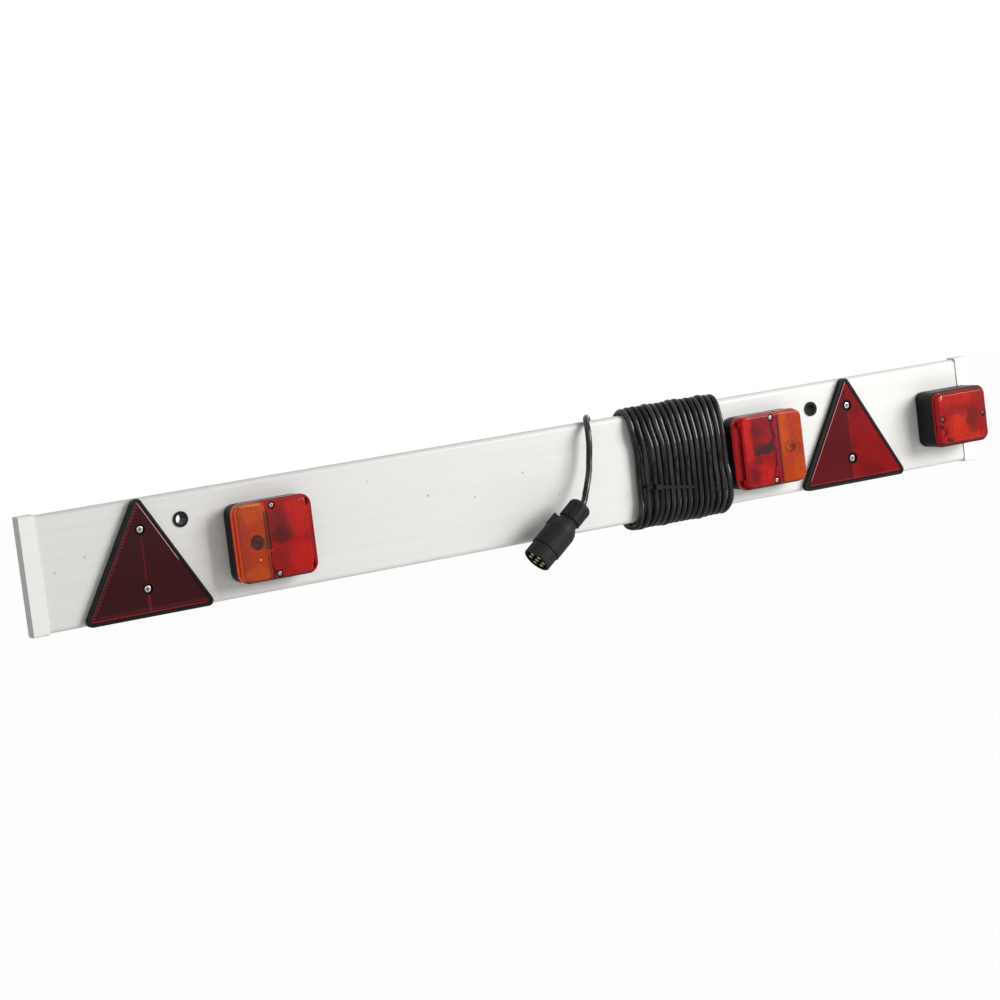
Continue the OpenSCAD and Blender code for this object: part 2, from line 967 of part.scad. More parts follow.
// Two-step lens shell over the whole lamp, before it is split into its two colours
module lens_shell() {
    difference() {
        union() {
            difference() {
                translate([0, 0, lamp_base_t]) {
                    pillow(lens_w, lens_h, lens_rim_t, lens_r, lens_rim_e);
                    translate([face_x, 0, 0])
                        pillow(face_w, face_h, lens_t, face_r, face_e);
                }
                translate([0, 0, lamp_base_t - past]) {
                    linear_extrude(lens_rim_t + past - lens_wall)
                        rounded_rect(lens_w - 2 * lens_wall, lens_h - 2 * lens_wall,
                            lens_r - lens_wall);
                    translate([face_x, 0, 0])
                        pillow(face_w - 2 * lens_wall, face_h - 2 * lens_wall,
                            lens_t + past - lens_wall, face_r - lens_wall, face_e - lens_wall);
                }
            }
            lens_spigot_ring();
            lens_flange();
            intersection() {
                lens_block();
                at_lens_screws()
                    translate([0, 0, pillar_top])
                        cylinder(d = well_d + 2 * well_wall, h = lens_top - pillar_top);
            }
            intersection() {
                lens_block();
                at_pockets()
                    translate([0, 0, lamp_base_t])
                        cylinder(r = pocket_r + pocket_wall, h = lens_t);
            }
            translate([bullseye_x, 0, lens_top])
                rotate_extrude()
                    translate([bullseye_d / 2, 0])
                        circle(bullseye_bead);
            translate([-lamp_w / 2, -tab_w / 2, lamp_base_t])
                cube([lens_in + past, tab_w, tab_t]);
        }
        at_lens_screws() {
            translate([0, 0, well_floor])
                cylinder(d = well_d, h = lens_t);
            translate([0, 0, lamp_base_t])
                cylinder(d = lens_screw_d + 2 * fit, h = lens_t);
            cylinder(d = pillar_d + 2 * fit, h = pillar_top);
        }
        at_pockets()
            translate([0, 0, lamp_base_t + pocket_floor_t])
                cylinder(r = pocket_r, h = lens_t);
        translate([step_x - lens_wall - past, -plate_slot_l / 2,
            lamp_base_t + lens_rim_t + plate_slot_up])
            cube([lens_wall + 2 * past, plate_slot_l, plate_slot_h]);
    }
}

// Filled outer form of the lens
module lens_block() {
    translate([0, 0, lamp_base_t]) {
        pillow(lens_w, lens_h, lens_rim_t, lens_r, lens_rim_e);
        translate([face_x, 0, 0])
            pillow(face_w, face_h, lens_t, face_r, face_e);
    }
}

// Opening inside the spigot ring, through which the bulbs shine
module lens_mouth() {
    around = fit + lens_spigot_wall;
    rounded_rect(inner_w - 2 * around, inner_h - 2 * around, inner_r - around);
}

// Flange that seats the lens on the base's rim
module lens_flange() {
    translate([0, 0, lamp_base_t])
        difference() {
            linear_extrude(lens_flange_t)
                rounded_rect(lens_w, lens_h, lens_r);
            translate([0, 0, -past])
                linear_extrude(lens_flange_t + 2 * past)
                    lens_mouth();
        }
}

// Ring that locates the lens inside the base's rim
module lens_spigot_ring() {
    translate([0, 0, lamp_base_t - lens_spigot])
        difference() {
            linear_extrude(lens_spigot + lens_flange_t / 2)
                rounded_rect(inner_w - 2 * fit, inner_h - 2 * fit, inner_r - fit);
            translate([0, 0, -past])
                linear_extrude(lens_spigot + lens_wall + 2 * past)
                    lens_mouth();
            translate([lens_joint_x, 0, 0])
                cube([divider_t + 2 * fit, lamp_h, 2 * lens_spigot], center = true);
            at_pockets()
                translate([0, 0, -past])
                    cylinder(r = pocket_r, h = lens_spigot + past);
        }
}

// Half space on one side of the colour joint
module joint_side(side) {
    translate([lens_joint_x + (side < 0 ? -lamp_w : 0), -lamp_h, 0])
        cube([lamp_w, 2 * lamp_h, 2 * lens_top]);
}

module amber_lens(side) {
    color("#e06a1c")
        lamp_frame(side)
            intersection() {
                lens_shell();
                joint_side(-1);
            }
}

module amber_lens_left() {
    amber_lens(-1);
}

module amber_lens_right() {
    amber_lens(1);
}

module red_lens(side) {
    color("#c41e1e")
        lamp_frame(side)
            intersection() {
                lens_shell();
                joint_side(1);
            }
}

module red_lens_left() {
    red_lens(-1);
}

module red_lens_right() {
    red_lens(1);
}

// Lens screw with its head's underside at z = 0
module lens_screw(shank) {
    pan_head(lens_screw_head_d, lens_screw_head_t);
    translate([0, 0, -shank])
        cylinder(d = lens_screw_d, h = shank);
}

module lens_screws(side) {
    color("silver")
        lamp_frame(side)
            at_lens_screws()
                translate([0, 0, well_floor])
                    lens_screw(well_floor - base_floor - lens_screw_stop);
}

module lens_screws_left() {
    lens_screws(-1);
}

module lens_screws_right() {
    lens_screws(1);
}

// Fog lamp

module at_fog_screws() {
    for (sx = [-1, 1])
        translate([sx * fog_screw_pitch / 2, 0, 0])
            children();
}

// Foam pad, pressed down where it covers the end cap's lip
module fog_foam() {
    color("#202020")
        difference() {
            fog_frame()
                difference() {
                    linear_extrude(fog_foam_t)
                        rounded_rect(fog_w - 2 * gasket_in, fog_h - 2 * gasket_in,
                            fog_r - gasket_in);
                    at_fog_bolts()
                        translate([0, 0, -past])
                            cylinder(d = bolt_d + fit, h = fog_foam_t + 2 * past);
                    translate([0, 0, -past])
                        cylinder(d = wire_hole_d, h = fog_foam_t + 2 * past);
                }
            translate([right_end - cap_wall - cap_lip, -board_t - cap_wall,
                fog_mid_z - fog_h / 2])
                cube([cap_lip + cap_wall, cap_wall + past, fog_h]);
        }
}

// Section inside the fog lamp's housing, drawn in by a distance
module fog_inside(by) {
    around = housing_wall + by;
    rounded_rect(fog_w - 2 * around, fog_h - 2 * around, fog_r - around);
}

module fog_base() {
    color("#1a1a1a")
        fog_frame()
            difference() {
                union() {
                    difference() {
                        translate([0, 0, fog_foam_t])
                            linear_extrude(fog_base_t - fog_foam_t)
                                rounded_rect(fog_w, fog_h, fog_r);
                        translate([0, 0, fog_floor])
                            linear_extrude(fog_base_t)
                                fog_inside(0);
                    }
                    at_fog_screws()
                        translate([0, 0, fog_foam_t])
                            cylinder(d = pillar_d, h = fog_pillar_top - fog_foam_t);
                }
                at_fog_screws()
                    translate([0, 0, fog_floor])
                        cylinder(d = lens_screw_d + fit, h = fog_top);
                at_fog_bolts()
                    cylinder(d = bolt_d + fit, h = fog_base_t);
                cylinder(d = wire_hole_d, h = fog_base_t);
            }
}

module fog_carrier_plate() {
    plate_w = fog_w - 2 * housing_wall - 2 * carrier_gap;
    plate_h = fog_h - 2 * housing_wall - 2 * carrier_gap;
    color("gainsboro")
        fog_frame()
            difference() {
                union() {
                    translate([0, 0, fog_floor])
                        linear_extrude(carrier_t)
                            fog_inside(carrier_gap);
                    for (sy = [-1, 1])
                        translate([-plate_w / 4, sy * (plate_h - carrier_t) / 2 - carrier_t / 2,
                            fog_floor])
                            cube([plate_w / 2, carrier_t, carrier_flange]);
                }
                at_fog_screws()
                    cylinder(d = pillar_d + 2 * fit, h = fog_base_t);
                at_fog_bolts()
                    cylinder(d = bolt_af / cos(30) + 2, h = fog_base_t);
                cylinder(d = wire_hole_d, h = fog_base_t);
            }
}

module fog_bulb_frame() {
    fog_frame()
        translate([fog_holder_x - holder_l, 0, 0])
            rotate([0, 0, 180])
                children();
}

module fog_holder() {
    color("dimgray")
        fog_bulb_frame()
            bulb_holder(fog_bulb_z, fog_carrier_top);
}

module fog_bulb() {
    color("lightgray")
        fog_bulb_frame()
            bulb(fog_bulb_z);
}

// Back of the ribbed face: a row of wedges across the inside of the lens
module rib_section(w) {
    count = floor(w / fog_rib_pitch);
    start = -count * fog_rib_pitch / 2;
    roof = fog_lens_t - lens_wall;
    polygon(concat(
        [[start, -past]],
        [for (i = [0 : count - 1], k = [0, 1])
            [start + (i + k / 2) * fog_rib_pitch, roof - k * fog_rib_depth]],
        [[-start, roof], [-start, -past]]));
}

// Hollow of the fog lens, ribbed at its roof
module fog_lens_hollow(w, h, r) {
    intersection() {
        union() {
            pillow(w, h, fog_lens_t - lens_wall, r, fog_face_e - lens_wall);
            translate([0, 0, -past])
                linear_extrude(2 * past)
                    rounded_rect(w, h, r);
        }
        translate([0, h, 0])
            rotate([90, 0, 0])
                linear_extrude(2 * h)
                    rib_section(w);
    }
}

// Flat rim on the housing, a raised face in one step, and a ring that locates it
module fog_lens() {
    color("#c41e1e")
        fog_frame()
            difference() {
                union() {
                    difference() {
                        translate([0, 0, fog_base_t]) {
                            pillow(fog_lens_w, fog_lens_h, fog_rim_t, fog_lens_r, fog_rim_e);
                            pillow(fog_face_w, fog_face_h, fog_lens_t, fog_face_r, fog_face_e);
                        }
                        translate([0, 0, fog_base_t])
                            fog_lens_hollow(fog_face_w - 2 * lens_wall, fog_face_h - 2 * lens_wall,
                                fog_face_r - lens_wall);
                    }
                    translate([0, 0, fog_base_t - lens_spigot])
                        difference() {
                            linear_extrude(lens_spigot + fog_rim_t / 2)
                                fog_inside(fit);
                            translate([0, 0, -past])
                                linear_extrude(lens_spigot + fog_rim_t + past)
                                    fog_inside(fit + lens_spigot_wall);
                        }
                    at_fog_screws()
                        translate([0, 0, fog_pillar_top])
                            cylinder(d = fog_well_d + 2 * well_wall, h = fog_top - fog_pillar_top - past);
                }
                at_fog_screws() {
                    translate([0, 0, fog_well_floor])
                        cylinder(d = fog_well_d, h = fog_lens_t);
                    cylinder(d = lens_screw_d + 2 * fit, h = fog_top);
                    cylinder(d = pillar_d + 2 * fit, h = fog_pillar_top);
                }
            }
}

module fog_lens_screws() {
    color("silver")
        fog_frame()
            at_fog_screws()
                translate([0, 0, fog_well_floor])
                    lens_screw(fog_well_floor - fog_floor - fog_screw_stop);
}

// Fixing bolts, washers and nuts of all three lamps

module fixing_bolt(floor_z) {
    shank = floor_z + board_t + bolt_washer_t + bolt_nut_t + bolt_tip;
    translate([0, 0, floor_z]) {
        hexagon(bolt_af, bolt_head_t);
        translate([0, 0, -shank])
            cylinder(d = bolt_d, h = shank);
    }
}

module fixing_bolts() {
    color("silver") {
        for (side = [-1, 1])
            lamp_frame(side)
                at_lamp_bolts()
                    fixing_bolt(base_floor);
        fog_frame()
            at_fog_bolts()
                fixing_bolt(fog_floor);
    }
}

module fixing_washers() {
    color("silver")
        at_all_bolts()
            translate([0, 0, -board_t - bolt_washer_t])
                difference() {
                    cylinder(d = bolt_washer_d, h = bolt_washer_t);
                    translate([0, 0, -past])
                        cylinder(d = bolt_d + fit, h = bolt_washer_t + 2 * past);
                }
}

module fixing_nuts() {
    color("silver")
        at_all_bolts()
            translate([0, 0, -board_t - bolt_washer_t - bolt_nut_t])
                difference() {
                    hexagon(bolt_af, bolt_nut_t);
                    translate([0, 0, -past])
                        cylinder(d = bolt_d + fit / 2, h = bolt_nut_t + 2 * past);
                }
}

// Cable

function unit(v) = v / norm(v);
function last(list) = list[len(list) - 1];

// Direction of a route at one of its points
function heading(pts, i) =
    i == 0 ? unit(pts[1] - pts[0])
    : i == len(pts) - 1 ? unit(pts[i] - pts[i - 1])
    : unit(unit(pts[i] - pts[i - 1]) + unit(pts[i + 1] - pts[i]));

// Ring of points round one point of the route; a cut ring lies in a plane across X
function ring_at(p, t, ref, r, cut) =
    let (a = unit(cross(ref, t)), b = cross(t, a))
    [for (k = [0 : cable_sides - 1])
        let (turn = 360 * k / cable_sides, q = p + r * (cos(turn) * a + sin(turn) * b))
        cut ? q + t * ((p.x - q.x) / t.x) : q];

// Tube along a route; its first or last ring can be cut square to X
module tube(pts, r, ref, cut_first, cut_last) {
    n = len(pts);
    s = cable_sides;
    points = [for (i = [0 : n - 1])
        each ring_at(pts[i], heading(pts, i), ref, r,
            (i == 0 && cut_first) || (i == n - 1 && cut_last))];
    sides = [for (i = [0 : n - 2], k = [0 : s - 1])
        [i * s + k, i * s + (k + 1) % s, (i + 1) * s + (k + 1) % s, (i + 1) * s + k]];
    ends = [[for (k = [s - 1 : -1 : 0]) k], [for (k = [0 : s - 1]) (n - 1) * s + k]];
    polyhedron(points, concat(sides, ends));
}

module cable_grommet() {
    color("#202020")
        translate([exit_x, 0, exit_z])
            rotate([-90, 0, 0])
                rotate_extrude()
                    difference() {
                        union() {
                            square([grommet_flange_d / 2, grommet_flange_t]);
                            translate([0, -board_wall])
                                square([grommet_d / 2, board_wall]);
                            translate([0, -board_wall - grommet_flange_t / 2])
                                square([grommet_d / 2 + grommet_barb, grommet_flange_t / 2]);
                        }
                        translate([0, -board_t / 2])
                            square([cable_d / 2 + fit / 2, board_t]);
                    }
}

module cable_lead() {
    color("#1c1c1c")
        translate([winding_right_x, 0, exit_z])
            tube(lead_points, cable_d / 2, lead_ref, false, true);
}

// Section of the winding: a stretched loop, as thick as the cable
module loop_section(r) {
    hull_h = loop_top - loop_bottom - 2 * loop_r;
    square([2 * r, hull_h], center = true);
    for (s = [-1, 1])
        translate([0, s * hull_h / 2])
            circle(r);
}

module cable_winding() {
    color("#1c1c1c")
        difference() {
            translate([winding_left_x, loop_y, (loop_top + loop_bottom) / 2])
                rotate([90, 0, 90])
                    linear_extrude(winding_l)
                        difference() {
                            loop_section(loop_r + cable_d / 2);
                            loop_section(loop_r - cable_d / 2);
                        }
            tie_frame()
                for (s = [-1, 1])
                    translate([s * (tie_span - tie_t) / 2, 0, 0])
                        cube([tie_t + 2 * tie_slot_gap, tie_w + 2 * tie_slot_gap,
                            2 * cable_d], center = true);
        }
}

// Middle of the front turns under the tie, with Z out of the plank
module tie_frame() {
    translate([winding_left_x + tie_in, loop_y - loop_r, board_mid_z - tie_drop])
        rotate([90, tie_lean, 0])
            children();
}

module cable_tie() {
    gap = tie_slot_gap / 2;
    inside = cable_d + 2 * gap;
    color("#141414")
        tie_frame() {
            difference() {
                cube([tie_span, tie_w, inside + 2 * tie_t], center = true);
                cube([tie_span - 2 * tie_t, tie_w + 2 * past, inside], center = true);
            }
            translate([tie_head_x - tie_head.x / 2, -tie_head.y / 2, inside / 2 + tie_t])
                cube(tie_head);
        }
}

// Middle of the plank's top edge at the winding's left end
module tail_frame() {
    translate([winding_left_x, -board_t / 2, board_top])
        children();
}

module cable_tail() {
    into_plug = [plug_off - plug_straight * plug_axis, plug_off + plug_entry * plug_axis];
    color("#1c1c1c")
        tail_frame()
            tube(concat(tail_points, into_plug), cable_d / 2, tail_ref, true, false);
}

// Plug, along its axis from the nut's cable end

module plug_frame() {
    tail_frame()
        translate(plug_off)
            rotate([0, plug_tip, plug_turn])
                rotate([0, 0, plug_roll])
                    children();
}

module plug_shell() {
    neck_z = plug_nut_l;
    body_z = plug_nut_l + plug_neck_l;
    bore_r = plug_nose_d / 2 - plug_wall;
    color("#2b2b2d")
        plug_frame()
            difference() {
                union() {
                    rotate_extrude()
                        polygon([[0, plug_entry], [plug_stub_d / 2, plug_entry],
                            [plug_stub_d / 2, neck_z], [plug_neck_d / 2, neck_z],
                            [plug_neck_d / 2, body_z],
                            [plug_body_d / 2 - plug_bulge, body_z + plug_bulge_z],
                            [plug_body_d / 2, body_z + plug_shoulder],
                            [plug_body_d / 2, plug_step_z], [plug_nose_d / 2, plug_step_z],
                            [plug_nose_d / 2, plug_end_z - plug_lip],
                            [plug_nose_d / 2 - plug_lip, plug_end_z], [0, plug_end_z]]);
                    translate([0, -plug_key_w / 2, plug_key_z])
                        cube([plug_body_d / 2 + plug_key_out, plug_key_w, plug_key_l]);
                }
                translate([0, 0, plug_entry - past])
                    cylinder(d = plug_wire_d, h = plug_end_z);
                translate([0, 0, body_z + plug_shoulder])
                    cylinder(r = bore_r, h = plug_end_z);
            }
}

module plug_insert() {
    bore_r = plug_nose_d / 2 - plug_wall;
    top = plug_end_z - insert_sink;
    color("#1d1d1f")
        plug_frame()
            difference() {
                translate([0, 0, top - insert_t])
                    cylinder(r = bore_r - insert_gap, h = insert_t);
                at_pins()
                    cylinder(d = pin_d + insert_gap, h = plug_end_z);
            }
}

module at_pins() {
    children();
    for (i = [0 : pin_count - 1])
        rotate([0, 0, (i + 0.5) * 360 / pin_count])
            translate([pin_ring_r, 0, 0])
                children();
}

module plug_pins() {
    color("#c9a54a")
        plug_frame()
            at_pins()
                translate([0, 0, plug_end_z - insert_sink - pin_l + pin_out])
                    cylinder(d = pin_d, h = pin_l);
}

module plug_seal() {
    color("#303030")
        plug_frame()
            translate([0, 0, nut_cap])
                difference() {
                    cylinder(d = plug_stub_d, h = seal_l);
                    translate([0, 0, -past])
                        cylinder(d = cable_d + fit, h = seal_l + 2 * past);
                }
}

module plug_nut() {
    color("#2b2b2d")
        plug_frame()
            difference() {
                mirror([0, 0, 1])
                    translate([0, 0, -plug_nut_l])
                        rotate_extrude()
                            edge_profile(plug_nut_d / 2, plug_nut_l, nut_round);
                translate([0, 0, nut_cap])
                    cylinder(d = plug_stub_d + fit, h = plug_nut_l);
                translate([0, 0, -past])
                    cylinder(d = nut_mouth_d, h = plug_nut_l);
                for (i = [0 : nut_flutes - 1])
                    rotate([0, 0, i * 360 / nut_flutes])
                        translate([plug_nut_d / 2 + nut_flute_out, 0, nut_flute_z])
                            cylinder(r = nut_flute_r, h = plug_nut_l);
            }
}

board();
end_cap_left();
end_cap_right();
hole_liner_left();
hole_liner_right();
reflector_tray_left();
reflector_tray_right();
reflector_lens_left();
reflector_lens_right();
reflector_screws();
reflector_washers();
reflector_nuts();
lamp_gasket_left();
lamp_base_left();
carrier_plate_left();
indicator_holder_left();
indicator_bulb_left();
stop_holder_left();
stop_bulb_left();
amber_lens_left();
red_lens_left();
lens_screws_left();
lamp_gasket_right();
lamp_base_right();
carrier_plate_right();
indicator_holder_right();
indicator_bulb_right();
stop_holder_right();
stop_bulb_right();
amber_lens_right();
red_lens_right();
lens_screws_right();
fog_foam();
fog_base();
fog_carrier_plate();
fog_holder();
fog_bulb();
fog_lens();
fog_lens_screws();
fixing_bolts();
fixing_washers();
fixing_nuts();
cable_grommet();
cable_lead();
cable_winding();
cable_tail();
cable_tie();
plug_shell();
plug_insert();
plug_pins();
plug_seal();
plug_nut();
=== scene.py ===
import json
import math
import random

import bpy
from mathutils import Matrix, Quaternion, Vector


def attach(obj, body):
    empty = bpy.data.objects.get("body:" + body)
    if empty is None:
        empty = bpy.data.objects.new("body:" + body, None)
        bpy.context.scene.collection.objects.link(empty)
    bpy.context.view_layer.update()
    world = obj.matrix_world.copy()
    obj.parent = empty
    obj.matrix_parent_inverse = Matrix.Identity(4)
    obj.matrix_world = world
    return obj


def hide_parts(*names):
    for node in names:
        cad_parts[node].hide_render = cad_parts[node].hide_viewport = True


# Trailer lighting board. Metres, in the frame of the CAD: X along the plank, the lamps face -Y, +Z up,
# origin in the middle of the two mounting holes on the plank's back.

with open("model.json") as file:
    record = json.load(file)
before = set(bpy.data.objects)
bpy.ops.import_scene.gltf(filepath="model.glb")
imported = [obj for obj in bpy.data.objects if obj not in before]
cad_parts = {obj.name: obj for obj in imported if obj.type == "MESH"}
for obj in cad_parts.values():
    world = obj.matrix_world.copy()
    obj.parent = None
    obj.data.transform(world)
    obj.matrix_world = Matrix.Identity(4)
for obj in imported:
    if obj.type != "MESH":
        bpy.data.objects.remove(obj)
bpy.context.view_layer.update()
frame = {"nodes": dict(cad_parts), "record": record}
nodes = frame["nodes"]

# Sizes repeated from part.scad

MM = 0.001
BOARD_TOP = 33.0
LAMP_X = (-347.0, 366.0)
LAMP_Z = -40.0
FOG_X = 668.0
FOG_Z = -40.5
FOG_SCREW_U = 33.75
LENS_SCREW_W = 41.25
REFLECTOR_X = (-509.0, 508.0)
REFLECTOR_Z = -58.07
REFLECTOR_SCREW_Z = (-74.0, -3.0)

CABLE_D = 8.0
LOOP_R = 24.0
LOOP_Y = -8.0
LOOP_TOP = 37.3
LOOP_BOTTOM = -110.3
FRONT_DROP = 68.0
WINDING_LEFT = 160.0
WINDING_RIGHT = 310.0
TURNS = 16
LEAD_AT = (WINDING_RIGHT, 0.0, -47.883)
LEAD = [(28, 0, 0), (28, 12, 0), (27, 21, 3), (23, 28, 9), (17, 31, 18), (11, 29, 29), (6, 24, 39), (2, 19, 48),
        (0, 16, 55)]
TAIL_AT = (WINDING_LEFT, -8.0, BOARD_TOP)
TAIL = [(0, 24, -100), (-6, 24, -80), (-12, 24, -60), (-18, 24, -42), (-24, 24, -26), (-29, 20, -11),
        (-34, 13, 0), (-39, 6, 4), (-44, -1, 4.6), (-49, -9, 2.8), (-53, -17, -4), (-56, -23, -15),
        (-58, -25, -30), (-61, -26, -46), (-65, -29, -60), (-71, -32, -74), (-78, -36, -87)]
PLUG_OFF = (-88, -41, -99.5)
PLUG_TIP, PLUG_TURN, PLUG_ROLL = 127.0, 183.0, 205.0
PLUG_ENTRY = 12.0
# How much closer to the plank the fronts of the last two turns lie, against a turn's own reach
TUCK = (0.14, 0.38)
# How far the front of the last turn leans to the right, the others less the nearer they are to the first
FRONT_LEAN = 9.0
# The winding's route: points this far apart, so many sideways wanders in a turn, and a stretch left free for the
# curve into the lead and the tail
ROUTE_STEP = 9
WANDERS = 6
FREE_RUN = 14
# How far the turns rise over the top edge and hang below the lower one, and how far below the top the rise begins
TOP_RISE, BOTTOM_HANG, RISE_DEPTH = 1.2, 2.2, 20.0
# The first turns hang loose in front: so many, and by how much each, to the right and outwards
LOOSE_TURNS, LOOSE_RIGHT, LOOSE_OUT = 3, 0.6, 0.9

# Camera


def add_camera():
    data = bpy.data.cameras.new("camera")
    data.sensor_width = 36
    data.lens = 108.13
    data.clip_start = 0.1
    data.clip_end = 60
    camera = bpy.data.objects.new("camera", data)
    turn = Vector((-0.0740, 0.1465, -0.4965))
    rotation = Quaternion(turn.normalized(), turn.length).to_matrix() @ Matrix.Rotation(math.radians(90), 3, "X")
    camera.matrix_world = Matrix.Translation((-1.78757, -3.31156, 0.35363)) @ rotation.to_4x4()
    bpy.context.scene.collection.objects.link(camera)
    bpy.context.scene.camera = camera


add_camera()

# Shader helper


class Field:
    """A value that varies over a surface. Sums and products of fields add Math nodes."""

    def __init__(self, tree, output=None):
        self.tree = tree
        self.output = output

    def node(self, kind, settings=None, out=0, **sockets):
        """Adds a shader node: first its settings, then the values or links of its sockets."""
        made = self.tree.nodes.new("ShaderNode" + kind)
        for name, value in (settings or {}).items():
            if name == "stops":
                ramp = made.color_ramp
                while len(ramp.elements) < len(value):
                    ramp.elements.new(0.5)
                for element, (place, colour) in zip(ramp.elements, value):
                    element.position = place
                    element.color = colour if len(colour) == 4 else (*colour, 1)
            else:
                setattr(made, name, value)
        for name, value in sockets.items():
            found = [s for s in made.inputs if s.name.replace(" ", "") == name and s.enabled]
            found = found or [made.inputs[int(name[1:])]]
            if isinstance(value, Field):
                self.tree.links.new(value.output, found[0])
            else:
                found[0].default_value = value
        return Field(self.tree, made.outputs[out])

    def math(self, operation, *values):
        return self.node("Math", {"operation": operation}, **{f"_{i}": v for i, v in enumerate(values)})

    def __add__(self, other):
        return self.math("ADD", self, other)

    def __sub__(self, other):
        return self.math("SUBTRACT", self, other)

    def __mul__(self, other):
        return self.math("MULTIPLY", self, other)

    def __truediv__(self, other):
        return self.math("DIVIDE", self, other)

    def __pow__(self, other):
        return self.math("POWER", self, other)

    def __rsub__(self, other):
        return self.math("SUBTRACT", other, self)

    def __rtruediv__(self, other):
        return self.math("DIVIDE", other, self)

    __radd__ = __add__
    __rmul__ = __mul__


def rgb(*values):
    """A colour written in sRGB from 0 to 255, as linear light."""
    return tuple((v / 255 / 12.92) if v <= 10 else ((v / 255 + 0.055) / 1.055) ** 2.4 for v in values) + (1.0,)


def darker(colour, share):
    return tuple(c * share for c in colour[:3]) + (1.0,)


class Finish:
    """A material with one Principled shader, whose varying sockets are fed by fields."""

    def __init__(self, name, **plain):
        self.material = bpy.data.materials.new(name)
        self.material.use_nodes = True
        self.tree = self.material.node_tree
        self.shader = self.tree.nodes["Principled BSDF"]
        for key, value in plain.items():
            self.shader.inputs[key.replace("_", " ")].default_value = value
        self.field = Field(self.tree)
        self.place = self.field.node("TexCoord", out="Object")
        self.middle = (0.0, 0.0)
        self.wavy = self.place

    def axes(self):
        """The place on the surface in metres, as three fields."""
        return [self.field.node("SeparateXYZ", Vector=self.place, out=axis) for axis in range(3)]

    def noise(self, scale, detail=3.0, rough=0.5, stretch=None):
        where = self.place
        if stretch:
            where = self.field.node("VectorMath", {"operation": "MULTIPLY"}, _0=where, _1=stretch)
        return self.field.node("TexNoise", Vector=where, Scale=scale, Detail=detail, Roughness=rough)

    def centre(self, at):
        """Measures marks, rings and lines from this place, mm along X and Z, on."""
        self.middle = at
        wave = self.field.node("TexNoise", Vector=self.place, Scale=70.0, Detail=2.0, out="Color")
        wave = self.field.node("VectorMath", {"operation": "SUBTRACT"}, _0=wave, _1=(0.5, 0.5, 0.5))
        self.wavy = self.field.node("VectorMath", {"operation": "MULTIPLY_ADD"}, _0=wave, _1=(0.015,) * 3,
                                    _2=self.place)

    def away(self, at):
        """Distance from a place on the face, in mm."""
        scale, (x, z) = 1 / MM, (self.middle[0] + at[0], self.middle[1] + at[1])
        off = self.field.node("VectorMath", {"operation": "MULTIPLY_ADD"}, _0=self.place, _1=(scale, 0, scale),
                              _2=(-x, 0, -z))
        return self.field.node("VectorMath", {"operation": "LENGTH"}, _0=off, out="Value")

    def along(self, direction, at=(0, 0), size=1.0, wavy=False):
        """How far along a direction in X and Z from a place, in mm over size."""
        x, z = direction[0] / size, direction[1] / size
        far = self.field.node("VectorMath", {"operation": "DOT_PRODUCT"}, _0=self.wavy if wavy else self.place,
                              _1=(x / MM, 0, z / MM), out="Value")
        return far - (x * (self.middle[0] + at[0]) + z * (self.middle[1] + at[1]))

    def mark(self, at, size, lean=0.0, soft=0.4, power=2):
        """A soft oval, or with a higher power a bar: half sizes in mm, lean in degrees to the left at the top."""
        turn = math.radians(lean)
        wavy = soft > 0.42
        across = self.along((math.cos(turn), math.sin(turn)), at, size[0], wavy)
        up = self.along((-math.sin(turn), math.cos(turn)), at, size[1], wavy)
        return 1 - self.smooth(across ** power + up ** power, 1 - soft, 1 + soft)

    def mix(self, share, first, second, blend="MIX"):
        settings = {"data_type": "RGBA", "blend_type": blend}
        return self.field.node("Mix", settings, out=2, Factor=share, A=first, B=second)

    def ramp(self, value, *stops):
        return self.field.node("ValToRGB", {"stops": stops}, Fac=value)

    def facing(self, direction):
        """How far the surface faces a direction, from -1 to 1."""
        normal = self.field.node("TexCoord", out="Normal")
        return self.field.node("VectorMath", {"operation": "DOT_PRODUCT"}, _0=normal, _1=direction, out="Value")

    def smooth(self, value, low, high):
        """0 below low and 1 above high."""
        return self.field.node("MapRange", {"interpolation_type": "SMOOTHSTEP"}, Value=value, FromMin=low,
                               FromMax=high, ToMin=0.0, ToMax=1.0)

    def feed(self, name, value):
        self.tree.links.new(value.output, self.shader.inputs[name])

    def bump(self, height, distance, strength=1.0):
        self.feed("Normal", self.field.node("Bump", Height=height, Distance=distance, Strength=strength))


def wear(piece, material):
    piece.data.materials.clear()
    piece.data.materials.append(material)


# Cable


def loop_outline():
    """One turn of the winding as Y and Z, from the lower end of its back side: up, over the top, down the front.
    The stiff cable leaves the top edge in a long curve and turns more sharply under the lower edge."""
    low = LOOP_BOTTOM + LOOP_R
    high = LOOP_TOP - LOOP_R
    front_high = LOOP_TOP - FRONT_DROP
    turns = [math.radians(a) for a in range(0, 91, 5)]
    line = [(LOOP_Y + LOOP_R, low + (high - low) * i / 12) for i in range(12)]
    line += [(LOOP_Y + LOOP_R * math.cos(a), high + LOOP_R * math.sin(a)) for a in turns]
    line += [(LOOP_Y - LOOP_R * math.sin(a), front_high + FRONT_DROP * math.cos(a)) for a in turns[1:]]
    line += [(LOOP_Y - LOOP_R, front_high + (low - front_high) * i / 12) for i in range(1, 12)]
    line += [(LOOP_Y - LOOP_R * math.cos(a), low - LOOP_R * math.sin(a)) for a in turns]
    line += [(LOOP_Y + LOOP_R * math.sin(a), low - LOOP_R * math.cos(a)) for a in turns[1:]]
    return line


def loop_lengths(line):
    lengths = [0.0]
    for (y0, z0), (y1, z1) in zip(line, line[1:]):
        lengths.append(lengths[-1] + math.hypot(y1 - y0, z1 - z0))
    return lengths


